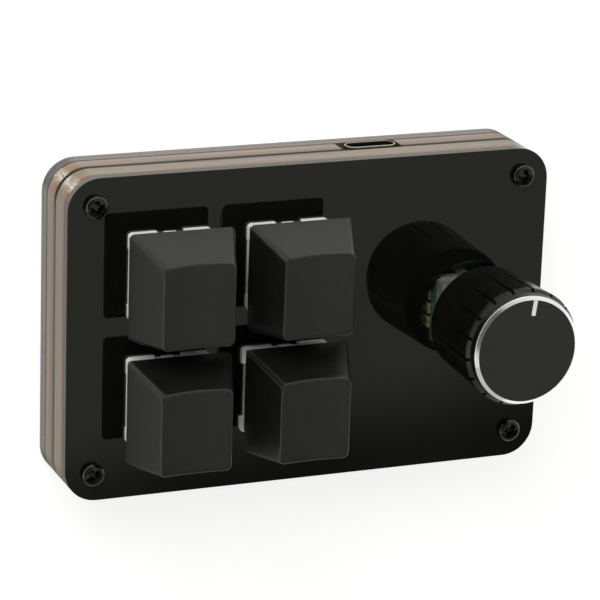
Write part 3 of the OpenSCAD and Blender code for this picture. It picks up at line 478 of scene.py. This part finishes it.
housing_black = moulded("switch_top_black", (0.006, 0.006, 0.006), 0.4)
gold = metal("contact_gold", (0.80, 0.55, 0.25), 0.22)
encoder_black = moulded("encoder_black", (0.02, 0.02, 0.02), 0.5)
encoder_green = moulded("encoder_wafer_green", (0.032, 0.095, 0.066), 0.4)
encoder_steel = metal("encoder_cover_steel", (0.62, 0.62, 0.58), 0.25, along="X")
encoder_steel.vary_color(encoder_steel.noise(1.3 * MM, stretch=(0.5, 1, 1.6)),
                         (0.42, 0.38, 0.31), (0.82, 0.80, 0.72), 0.4, 0.62)
encoder_steel.set("Metallic", 0.75)
bronze = metal("terminal_bronze", (0.44, 0.32, 0.20), 0.35)
bronze.vary_color(bronze.noise(0.5 * MM, stretch=(1, 1, 0.3)),
                  (0.26, 0.16, 0.09), (0.62, 0.50, 0.34), 0.4, 0.6)
bronze.set("Metallic", 0.55)
ivory = moulded("rotor_ivory", (0.70, 0.70, 0.64), 0.4)
shaft = metal("shaft_aluminium", (0.75, 0.75, 0.75), 0.25)

NODE_FINISH = {
    "front_plate": front_black,
    "upper_frame": smoky,
    "lower_frame": smoky,
    "back_plate": grey,
    "standoffs": brass,
    "rubber_feet": rubber,
    "circuit_board": green_board,
    "usb_shell": socket_steel,
    "usb_tongue": socket_black,
    "controller_chip": chip_black,
    "memory_chip": chip_black,
    "crystal": tinned,
    "voltage_regulator": chip_black,
    "small_parts": ceramic,
    "diodes": amber,
    "encoder_base": encoder_black,
    "encoder_wafer": encoder_green,
    "encoder_cover": encoder_steel,
    "encoder_terminals": bronze,
    "encoder_rotor": ivory,
    "encoder_shaft": shaft,
    "encoder_button": ivory,
    "encoder_dome": spring_wire,
    "knob_core": encoder_black,
    "knob_pointer": white_line,
    "knob_shell": knob_black,
    "front_screws": screw_black,
    "back_screws": screw_black,
}
for number in KEYS:
    NODE_FINISH[f"key_cap_{number}"] = caps
    NODE_FINISH[f"switch_stem_{number}"] = stem_brown
    NODE_FINISH[f"switch_spring_{number}"] = spring_wire
    NODE_FINISH[f"switch_top_{number}"] = housing_black
    NODE_FINISH[f"switch_base_{number}"] = white
    NODE_FINISH[f"switch_contacts_{number}"] = gold

for node_name, finish in NODE_FINISH.items():
    obj = frame["nodes"][node_name]
    if not obj.material_slots:
        obj.data.materials.append(None)
    for place in obj.material_slots:
        place.material = finish.material


# ---------------------------------------------------------------- mesh building

def add_ring(bm, points):
    """Vertices of one ring, not joined yet."""
    return [bm.verts.new(p) for p in points]


def bridge(bm, lower, upper, material_index=0):
    """Quads between two closed rings of the same length."""
    count = len(lower)
    for k in range(count):
        face = bm.faces.new((lower[k], lower[(k + 1) % count], upper[(k + 1) % count], upper[k]))
        face.material_index = material_index


def close(bm, ring, center, material_index=0, flip=False):
    """Fan from a ring to its middle point."""
    middle = bm.verts.new(center)
    count = len(ring)
    for k in range(count):
        here, after = ring[k], ring[(k + 1) % count]
        face = bm.faces.new((after, here, middle) if flip else (here, after, middle))
        face.material_index = material_index


def skin(bm, rings, material_index=0):
    """Bridges each ring to the next."""
    for lower, upper in zip(rings, rings[1:]):
        bridge(bm, lower, upper, material_index)


def to_object(bm, name, finishes, sharp=35.0):
    """Object of a mesh, smooth but for edges sharper than so many degrees."""
    bmesh.ops.recalc_face_normals(bm, faces=bm.faces)
    mesh = bpy.data.meshes.new(name)
    bm.to_mesh(mesh)
    bm.free()
    for finish in finishes:
        mesh.materials.append(finish.material)
    mesh.shade_smooth()
    mesh.set_sharp_from_angle(angle=math.radians(sharp))
    made = bpy.data.objects.new(name, mesh)
    scene.collection.objects.link(made)
    return made


def mount(piece, body, slot, *nodes):
    """The piece rides on a body and stands for CAD nodes."""
    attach(piece, body)
    if nodes:
        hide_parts(*nodes)


def cut_away(target, tool):
    """Takes the tool's volume out of the target's mesh."""
    modifier = target.modifiers.new("cut", "BOOLEAN")
    modifier.operation = "DIFFERENCE"
    modifier.solver = "EXACT"
    modifier.object = tool
    bpy.context.view_layer.update()
    evaluated = target.evaluated_get(bpy.context.evaluated_depsgraph_get())
    result = bpy.data.meshes.new_from_object(evaluated)
    target.modifiers.remove(modifier)
    old = target.data
    target.data = result
    bpy.data.meshes.remove(old)
    bpy.data.objects.remove(tool)


def box_mesh(bm, low, high):
    """Adds a box from its lowest to its highest corner."""
    size = Vector(high) - Vector(low)
    middle = (Vector(high) + Vector(low)) / 2
    bmesh.ops.create_cube(bm, size=1.0, matrix=Matrix.Translation(middle) @ Matrix.Diagonal((*size, 1.0)))


def rounded_outline(corner_steps, edge_steps):
    """Round a rounded rectangle: (sign of x, sign of y, angle, share along the edge, corner's number)."""
    outline = []
    corners = ((1, 1, 0), (-1, 1, 90), (-1, -1, 180), (1, -1, 270))
    for index, (sx, sy, start) in enumerate(corners):
        for k in range(corner_steps + 1):
            outline.append((sx, sy, math.radians(start + 90 * k / corner_steps), 0.0, index))
        for k in range(1, edge_steps):
            outline.append((sx, sy, math.radians(start + 90), k / edge_steps, index))
    return outline


def outline_point(entry, half_w, half_d, radius):
    """Place and outward direction of an outline's entry, for a half size and a corner radius."""
    sx, sy, angle, along, index = entry
    corner = Vector((sx * (half_w - radius), sy * (half_d - radius)))
    out = Vector((math.cos(angle), math.sin(angle)))
    if along > 0:
        nx, ny = ((-1, 1), (-1, -1), (1, -1), (1, 1))[index]
        target = Vector((nx * (half_w - radius), ny * (half_d - radius)))
        corner = corner.lerp(target, along)
    return corner + out * radius, out


# ---------------------------------------------------------------- key caps

CAP_OUTLINE = rounded_outline(corner_steps=8, edge_steps=12)


def cap_top_height(x):
    """Height of the dished top above the skirt, at a distance from the cap's middle plane."""
    return CAP_H - CAP_DISH * max(0.0, 1.0 - (x / CAP_DISH_HALF) ** 2)


def cap_side_point(entry, height, foot_half, inset=0.0):
    """Point of the cap's side at a height above the skirt."""
    share = height / (CAP_H - CAP_EDGE_R)
    half_w = foot_half + (CAP_TOP_W / 2 - foot_half) * share - inset
    half_d = foot_half + (CAP_TOP_D / 2 - foot_half) * share - inset
    radius = max(CAP_FOOT_R + (CAP_TOP_R - CAP_FOOT_R) * share - inset * 0.6, 0.3 * MM)
    point, out = outline_point(entry, half_w, half_d, radius)
    return Vector((point.x, point.y - CAP_SHIFT * share)), out


def cap_mesh(foot_half):
    """One cap with the middle of its skirt at the origin."""
    bm = bmesh.new()
    edge_steps = 6
    side_steps = 10
    top_steps = 22
    blend_steps = 4            # rings over which the rim's own height fades out
    settle = 4                 # passes that bring the edge to the height of the dished top
    sides = [[] for _ in range(side_steps + 2)]
    edges = [[] for _ in range(edge_steps)]
    rim = []
    for entry in CAP_OUTLINE:
        height = CAP_H - CAP_EDGE_R
        for _ in range(settle):
            point, out = cap_side_point(entry, height, foot_half)
            above, _ = cap_side_point(entry, height + CAP_LIP, foot_half)
            lean = math.atan2(-(above - point).dot(out), CAP_LIP)
            inner = point - out * (CAP_EDGE_R * math.cos(lean))
            height = cap_top_height(inner.x) - CAP_EDGE_R * (1 - math.sin(lean))
        foot, _ = cap_side_point(entry, 0.0, foot_half, inset=CAP_LIP)
        sides[0].append((foot.x, foot.y, 0.0))
        for k in range(side_steps + 1):
            level = CAP_LIP + (height - CAP_LIP) * k / side_steps
            place, _ = cap_side_point(entry, level, foot_half)
            sides[k + 1].append((place.x, place.y, level))
        for k in range(edge_steps):
            angle = lean + (math.pi / 2 - lean) * (k + 1) / edge_steps
            place = point - out * (CAP_EDGE_R * (math.cos(lean) - math.cos(angle)))
            level = height + CAP_EDGE_R * (math.sin(angle) - math.sin(lean))
            edges[k].append((place.x, place.y, level))
        rim.append(Vector(edges[-1][-1]))
    rings = [add_ring(bm, ring) for ring in sides + edges]
    middle = Vector((0.0, -CAP_SHIFT))
    for k in range(1, top_steps):
        share = 1 - k / top_steps
        ring = []
        for point in rim:
            place = middle + (point.xy - middle) * share
            blend = max(0.0, 1 - k / blend_steps)
            offset = (point.z - cap_top_height(point.x)) * blend
            ring.append((place.x, place.y, cap_top_height(place.x) + offset))
        rings.append(add_ring(bm, ring))
    skin(bm, rings)
    close(bm, rings[-1], (middle.x, middle.y, cap_top_height(middle.x)))
    cap_hollow(bm, rings[0], foot_half)
    return bm


def cap_hollow(bm, foot_ring, foot_half):
    """Inside of the cap: walls up to a flat roof, closed to the skirt's foot."""
    roof = CAP_H - CAP_ROOF
    inner = []
    rows = ((0.0, CAP_WALL), (roof * 0.5, CAP_WALL), (roof - CAP_ROOF_CORNER, CAP_WALL),
            (roof, CAP_WALL + CAP_ROOF_CORNER))
    for level, inset in rows:
        ring = []
        for entry in CAP_OUTLINE:
            place, _ = cap_side_point(entry, level * CAP_HOLLOW_LEAN, foot_half, inset=inset)
            ring.append((place.x, place.y, level))
        inner.append(add_ring(bm, ring))
    bridge(bm, inner[0], foot_ring)
    skin(bm, inner[::-1])
    close(bm, inner[-1], (0.0, -CAP_SHIFT, roof), flip=True)


def cap_post_object():
    """Post under the roof with the cross-shaped hole that grips the stem."""
    length = CAP_H - CAP_ROOF + CAP_POST_INTO - CAP_POST_UP
    bm = bmesh.new()
    bmesh.ops.create_cone(bm, cap_ends=True, segments=48, radius1=CAP_POST_R, radius2=CAP_POST_R, depth=length,
                          matrix=Matrix.Translation((0, 0, CAP_POST_UP + length / 2)))
    post = to_object(bm, "post", [caps])
    for long_side, wide_side in ((CROSS_LONG, CROSS_WIDE), (CROSS_WIDE, CROSS_LONG)):
        cutter = bmesh.new()
        box_mesh(cutter, (-long_side / 2, -wide_side / 2, -MM),
                 (long_side / 2, wide_side / 2, CAP_POST_UP + CROSS_DEEP))
        cut_away(post, to_object(cutter, "cross", [caps]))
    return post


def build_caps():
    post = cap_post_object()
    for number in KEYS:
        low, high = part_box(f"key_cap_{number}")
        bm = cap_mesh((high.x - low.x) / 2)
        bm.from_mesh(post.data)
        bmesh.ops.translate(bm, verts=bm.verts, vec=((low.x + high.x) / 2, (low.y + high.y) / 2, low.z))
        cap = to_object(bm, f"cap_{number}", [caps], sharp=40.0)
        mount(cap, f"key_{number}", "cap_black", f"key_cap_{number}")
    bpy.data.objects.remove(post)


# ---------------------------------------------------------------- knob

def knob_profile(low, high):
    """Knob from its underside to its face: (radius, height, grooves are cut here, material's number)."""
    neck_top = high - KNOB_BEVEL_H
    neck_foot = neck_top - KNOB_NECK_H
    shoulder_foot = neck_foot - KNOB_SHOULDER_H
    neck_r = KNOB_R - KNOB_SHOULDER_IN
    bevel_r = neck_r - KNOB_NECK_IN
    face_r = bevel_r - KNOB_BEVEL_W
    rows = [(KNOB_BASE_R - KNOB_LIP, low, False, 0), (KNOB_BASE_R, low + KNOB_LIP, False, 0)]
    steps = 12
    for k in range(1, steps + 1):
        share = k / steps
        rows.append((KNOB_BASE_R + (KNOB_R - KNOB_BASE_R) * share,
                     low + KNOB_LIP + (shoulder_foot - KNOB_LIP - low) * share, True, 0))
    soft = 0.14                # share of the shoulder that is rounded at each end
    bulges = ((soft / 3, 0.25), (2 * soft / 3, 0.4), (soft, 0.45), (1 - soft, -0.2), (1 - soft / 2, -0.3))
    for share, bulge in bulges:
        rows.append((KNOB_R - KNOB_SHOULDER_IN * share + bulge * 0.05 * MM,
                     shoulder_foot + KNOB_SHOULDER_H * share, True, 0))
    rows.append((neck_r, neck_foot, True, 0))
    rows.append((neck_r - KNOB_NECK_IN * 0.5, (neck_foot + neck_top) / 2, True, 0))
    rows.append((bevel_r + 0.01 * MM, neck_top - 0.05 * MM, False, 0))
    rows.append((bevel_r - 0.03 * MM, neck_top + 0.03 * MM, False, 1))
    rows.append((bevel_r - 0.07 * MM, neck_top + 0.066 * MM, False, 1))
    rows.append((face_r, high - 0.01 * MM, False, 1))
    return rows


def groove_share(angle, radius):
    """0 on the land between grooves, 1 at a groove's floor."""
    pitch = 2 * math.pi / GROOVES
    off = (angle - math.radians(GROOVE_FIRST) + pitch / 2) % pitch - pitch / 2
    across = abs(off) * radius
    wall = 0.08 * MM
    return min(1.0, max(0.0, (GROOVE_HALF_W + wall / 2 - across) / wall))


def knob_angles():
    """Angles round the knob, dense at the groove walls."""
    pitch = 2 * math.pi / GROOVES
    half = GROOVE_HALF_W / KNOB_R
    wall = 0.04 * MM / KNOB_R
    offsets = [-half - wall, -half + wall, 0.0, half - wall, half + wall]
    land = pitch - 2 * (half + wall)
    land_steps = 14
    offsets += [half + wall + land * k / land_steps for k in range(1, land_steps)]
    first = math.radians(GROOVE_FIRST)
    return [first + pitch * groove + offset for groove in range(GROOVES) for offset in offsets]


def build_knob():
    low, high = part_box("knob_shell")
    axis = Vector(((low.x + high.x) / 2, (low.y + high.y) / 2))
    angles = knob_angles()
    floor_r = KNOB_R - GROOVE_DEPTH

    def ring(radius, level, cut=False):
        points = []
        for angle in angles:
            reach = radius
            if cut:
                reach = radius - max(0.0, radius - floor_r) * groove_share(angle, KNOB_R)
            points.append((axis.x + reach * math.cos(angle), axis.y + reach * math.sin(angle), level))
        return points

    bm = bmesh.new()
    rows = knob_profile(low.z, high.z)
    rings = [add_ring(bm, ring(radius, level, cut)) for radius, level, cut, _ in rows]
    for below, above, row in zip(rings, rings[1:], rows[1:]):
        bridge(bm, below, above, row[-1])
    face_r = rows[-1][0] - KNOB_FACE_IN
    face_z = high.z - KNOB_FACE_SUNK
    face_steps = 16
    face = [add_ring(bm, ring(face_r * (1 - k / face_steps), face_z)) for k in range(face_steps)]
    bridge(bm, rings[-1], face[0], 1)
    skin(bm, face, 2)
    close(bm, face[-1], (axis.x, axis.y, face_z), 2)
    mouth = add_ring(bm, ring(KNOB_BORE_R, low.z))
    roof = add_ring(bm, ring(KNOB_BORE_R, high.z - KNOB_FACE_T))
    bridge(bm, mouth, rings[0])
    bridge(bm, roof, mouth)
    close(bm, roof, (axis.x, axis.y, high.z - KNOB_FACE_T), flip=True)
    knob = to_object(bm, "knob_grooved_shell", [knob_black, bright_cut, knob_face], sharp=28.0)
    mount(knob, "knob", "knob_black", "knob_shell")


# ---------------------------------------------------------------- screws

def screw_object(shank):
    """Pan head with a cross recess, its underside at the origin, head up."""
    bm = bmesh.new()
    segments = 48
    tip = 0.2 * MM
    under = 0.05 * MM
    profile = [(SCREW_SHANK_R - tip, -shank), (SCREW_SHANK_R, -shank + tip), (SCREW_SHANK_R, 0.0)]
    profile += [(SCREW_HEAD_R - under, 0.0), (SCREW_HEAD_R, under)]
    profile += [(SCREW_HEAD_R - inset * MM, height * MM) for inset, height in SCREW_HEAD_EDGE]
    crown_r, crown_low = profile[-1]
    crown_steps = 8
    for k in range(1, crown_steps):
        share = 1 - k / crown_steps
        profile.append((crown_r * share, crown_low + (SCREW_HEAD_H - crown_low) * (1 - share * share)))
    angles = [2 * math.pi * k / segments for k in range(segments)]
    rings = [add_ring(bm, [(radius * math.cos(angle), radius * math.sin(angle), level) for angle in angles])
             for radius, level in profile]
    skin(bm, rings)
    close(bm, rings[0], (0, 0, -shank), flip=True)
    close(bm, rings[-1], (0, 0, SCREW_HEAD_H))
    head = to_object(bm, "screw", [screw_black])
    for turn in (0, 90):
        cutter = bmesh.new()
        half = Vector((SCREW_RECESS_LONG / 2, SCREW_RECESS_WIDE / 2))
        top = SCREW_HEAD_H + 0.2 * MM
        floor = SCREW_HEAD_H - SCREW_RECESS_DEEP
        rows = [(half.x * 0.45, half.y * 0.35, floor), (half.x, half.y, SCREW_HEAD_H), (half.x, half.y, top)]
        levels = [add_ring(cutter, [(x, y, z), (-x, y, z), (-x, -y, z), (x, -y, z)]) for x, y, z in rows]
        skin(cutter, levels)
        cutter.faces.new(levels[0][::-1])
        cutter.faces.new(levels[-1])
        bmesh.ops.rotate(cutter, verts=cutter.verts, cent=(0, 0, 0),
                         matrix=Matrix.Rotation(math.radians(turn), 3, "Z"))
        cut_away(head, to_object(cutter, "recess", [screw_black]))
    return head


def build_screws():
    """Front and back set: one screw, copied to the four corners of its node's box."""
    sets = (("front_screws", True, "front_screw_set"), ("back_screws", False, "back_screw_set"))
    for node_name, faces_up, name in sets:
        low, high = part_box(node_name)
        one = screw_object((high.z - low.z) - SCREW_HEAD_H)
        seat = high.z - SCREW_HEAD_H if faces_up else low.z + SCREW_HEAD_H
        flip = Matrix.Identity(4) if faces_up else Matrix.Rotation(math.pi, 4, "X")
        bm = bmesh.new()
        places = [(x, y) for x in (low.x + SCREW_HEAD_R, high.x - SCREW_HEAD_R)
                  for y in (low.y + SCREW_HEAD_R, high.y - SCREW_HEAD_R)]
        for (x, y), turn in zip(places, SCREW_TURNS):
            copy = one.data.copy()
            copy.transform(Matrix.Translation((x, y, seat)) @ flip @ Matrix.Rotation(math.radians(turn), 4, "Z"))
            bm.from_mesh(copy)
            bpy.data.meshes.remove(copy)
        made = to_object(bm, name, [screw_black], sharp=32.0)
        mount(made, "case", "black_steel", node_name)
        bpy.data.objects.remove(one)


# ---------------------------------------------------------------- springs and snap dome

def build_springs():
    """Copies of the pieces that deform as a joint moves, mounted on the case in place of their CAD nodes."""
    for joint in frame["record"]["behaviour"]["joints"]:
        for row in joint.get("deforming_nodes", []):
            node_name = row["node"]
            ending = "coil" if "spring" in node_name else "sheet"
            piece = bpy.data.objects.new(f"{node_name}_{ending}", frame["nodes"][node_name].data.copy())
            scene.collection.objects.link(piece)
            mount(piece, "case", "spring_steel", node_name)
            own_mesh(piece)


build_caps()
build_knob()
build_screws()
build_springs()


# ---------------------------------------------------------------- camera, floor and light

CAMERA_PLACE = Vector((-0.18347, 0.15404, 0.45780))
CAMERA_AIM = Vector((-0.00196, 0.00410, 0.01600))
CAMERA_ROLL = -1.968           # degrees
CAMERA_LENS = 180.94           # mm
CAMERA_SENSOR = 36.0           # mm
SKY = 0.45                     # brightness of the surround
SKY_FRONT = 0.09               # over the front edge
SKY_HORIZON = 0.45             # added near the horizon
SKY_CAMERA = 0.25              # share that is left behind the camera
SKY_PANEL = 1.7                # arched soft panel at the back left, which draws the thin highlights on edges
SKY_LOW_LEFT = 0.2             # share that is left under the panel
TO_CAMERA = Vector((-0.50, 0.25, 0.83)).normalized()  # middle of the dim part behind the camera
TO_FRONT = (0.229, -1.0, 0.0)  # the side that the front edge faces
TO_PANEL = (-0.77, 0.64, 0.0)  # the side of the panel
OVER_PANEL = (0.218, -0.180, 1.0)                    # the panel lies in a band of this direction
FLOOR_GLOW_SEEN = 0.78         # light that the floor adds to what the camera sees
FLOOR_GLOW_FAR = 0.36          # and to what is reflected in the part, far from it or past its socket edge
FLOOR_GLOW_RIGHT = 0.8         # and at its right, past the knob
FAR_FROM = (90 * MM, 130 * MM) # the far glow fades in between these distances
PAST_EDGE = (28 * MM, 50 * MM) # and between these depths past the socket edge
PAST_KNOB = (43 * MM, 48 * MM) # the right glow fades in between these places
FLOOR_HALF = 1.5
KEY_LIGHT = dict(place=(-0.35, 0.55, 0.55), aim=(0, 0, 0), size=(0.5, 0.5), power=5.5)


def add_camera():
    """Camera at the photograph's angle, fitted by least squares."""
    aim = (CAMERA_AIM - CAMERA_PLACE).normalized()
    side = aim.cross(Vector((0, 1, 0))).normalized()
    side.rotate(Matrix.Rotation(math.radians(CAMERA_ROLL), 3, aim))
    up = side.cross(aim)
    data = bpy.data.cameras.new("camera")
    data.lens = CAMERA_LENS
    data.sensor_width = CAMERA_SENSOR
    data.clip_start = 0.01
    camera = bpy.data.objects.new("camera", data)
    camera.matrix_world = Matrix.Translation(CAMERA_PLACE) @ Matrix((side, up, -aim)).transposed().to_4x4()
    scene.collection.objects.link(camera)
    scene.camera = camera


def add_floor():
    """Pale paper; to the camera and in reflections it glows a little, so the backdrop stays white."""
    bm = bmesh.new()
    bmesh.ops.create_grid(bm, x_segments=8, y_segments=8, size=FLOOR_HALF)
    paper = Shader("floor_paper", (0.36, 0.36, 0.36), 0.8)
    paper.vary_color(paper.noise(20 * MM), (0.35, 0.35, 0.35), (0.37, 0.37, 0.37))
    place = paper.split(paper.position())
    distance = paper.node("ShaderNodeVectorMath", operation="LENGTH")
    paper.link(paper.position(), distance.inputs[0])
    far = paper.smooth(distance.outputs["Value"], *FAR_FROM)
    share = paper.math("MAXIMUM", far, paper.smooth(place["Y"], *PAST_EDGE))
    glow = paper.math("MULTIPLY", share, FLOOR_GLOW_FAR)
    glow = paper.math("MAXIMUM", glow, paper.smooth(place["X"], *PAST_KNOB, end=FLOOR_GLOW_RIGHT))
    seen = paper.node("ShaderNodeLightPath").outputs
    reflected = paper.math("MAXIMUM", seen["Is Glossy Ray"], seen["Is Transmission Ray"])
    strength = paper.math("MAXIMUM", paper.math("MULTIPLY", reflected, glow),
                          paper.math("MULTIPLY", seen["Is Camera Ray"], FLOOR_GLOW_SEEN))
    paper.set("Emission Color", (1.0, 1.0, 1.0, 1.0))
    paper.link(strength, paper.principled.inputs["Emission Strength"])
    to_object(bm, "floor", [paper])


def add_area(name, place, aim, size, power):
    """Soft rectangular lamp that reflections don't show."""
    data = bpy.data.lights.new(name, "AREA")
    data.shape = "RECTANGLE"
    data.size, data.size_y = size
    data.energy = power
    light = bpy.data.objects.new(name, data)
    light.location = place
    light.rotation_euler = (Vector(aim) - Vector(place)).to_track_quat("-Z", "Y").to_euler()
    light.visible_glossy = False
    scene.collection.objects.link(light)


def add_world():
    """Soft surround, white to the camera.

    It is brighter near the horizon, dimmer over the front edge and behind the camera, and has
    an arched panel at the back left with a dim part under it.
    """
    world = bpy.data.worlds.new("studio")
    scene.world = world
    world.use_nodes = True
    sky = Nodes(world.node_tree)
    sky.tree.nodes.clear()
    away = sky.node("ShaderNodeTexCoord").outputs["Generated"]
    height = sky.split(away)["Z"]
    front = sky.smooth(sky.dot(away, TO_FRONT), 0.405, 0.437, SKY, SKY_FRONT)
    horizon = sky.smooth(height, 0.35, 0.65, SKY_HORIZON, 0.0)
    behind_camera = sky.smooth(sky.dot(away, TO_CAMERA), 0.74, 0.88, 1.0, SKY_CAMERA)
    sideways = sky.dot(away, TO_PANEL)
    arch = sky.dot(away, OVER_PANEL)
    panel = sky.math("MULTIPLY", sky.smooth(arch, 0.11, 0.15, 0.0, SKY_PANEL),
                     sky.smooth(arch, 0.21, 0.25, 1.0, 0.0))
    panel = sky.math("MULTIPLY", panel, sky.smooth(sideways, 0.25, 0.4))
    dim_part = sky.math("MAXIMUM", sky.smooth(arch, 0.04, 0.12, SKY_LOW_LEFT, 1.0),
                        sky.smooth(sideways, 0.5, 0.75, 1.0, SKY_LOW_LEFT))
    strength = sky.math("MULTIPLY", sky.math("ADD", front, horizon), behind_camera)
    strength = sky.math("ADD", sky.math("MULTIPLY", strength, dim_part), panel)
    soft = sky.node("ShaderNodeBackground")
    sky.link(sky.ramp(height, [(0.5, (1.0, 1.0, 0.97)), (0.75, (1.0, 1.0, 0.82))]), soft.inputs["Color"])
    sky.link(strength, soft.inputs["Strength"])
    white_sky = sky.node("ShaderNodeBackground", Color=(1, 1, 1, 1))
    pick = sky.node("ShaderNodeMixShader")
    sky.link(sky.node("ShaderNodeLightPath").outputs["Is Camera Ray"], pick.inputs[0])
    sky.link(soft.outputs[0], pick.inputs[1])
    sky.link(white_sky.outputs[0], pick.inputs[2])
    sky.link(pick.outputs[0], sky.node("ShaderNodeOutputWorld").inputs["Surface"])


add_camera()
add_floor()
add_world()
add_area("key_light", **KEY_LIGHT)

scene.view_settings.view_transform = "Standard"
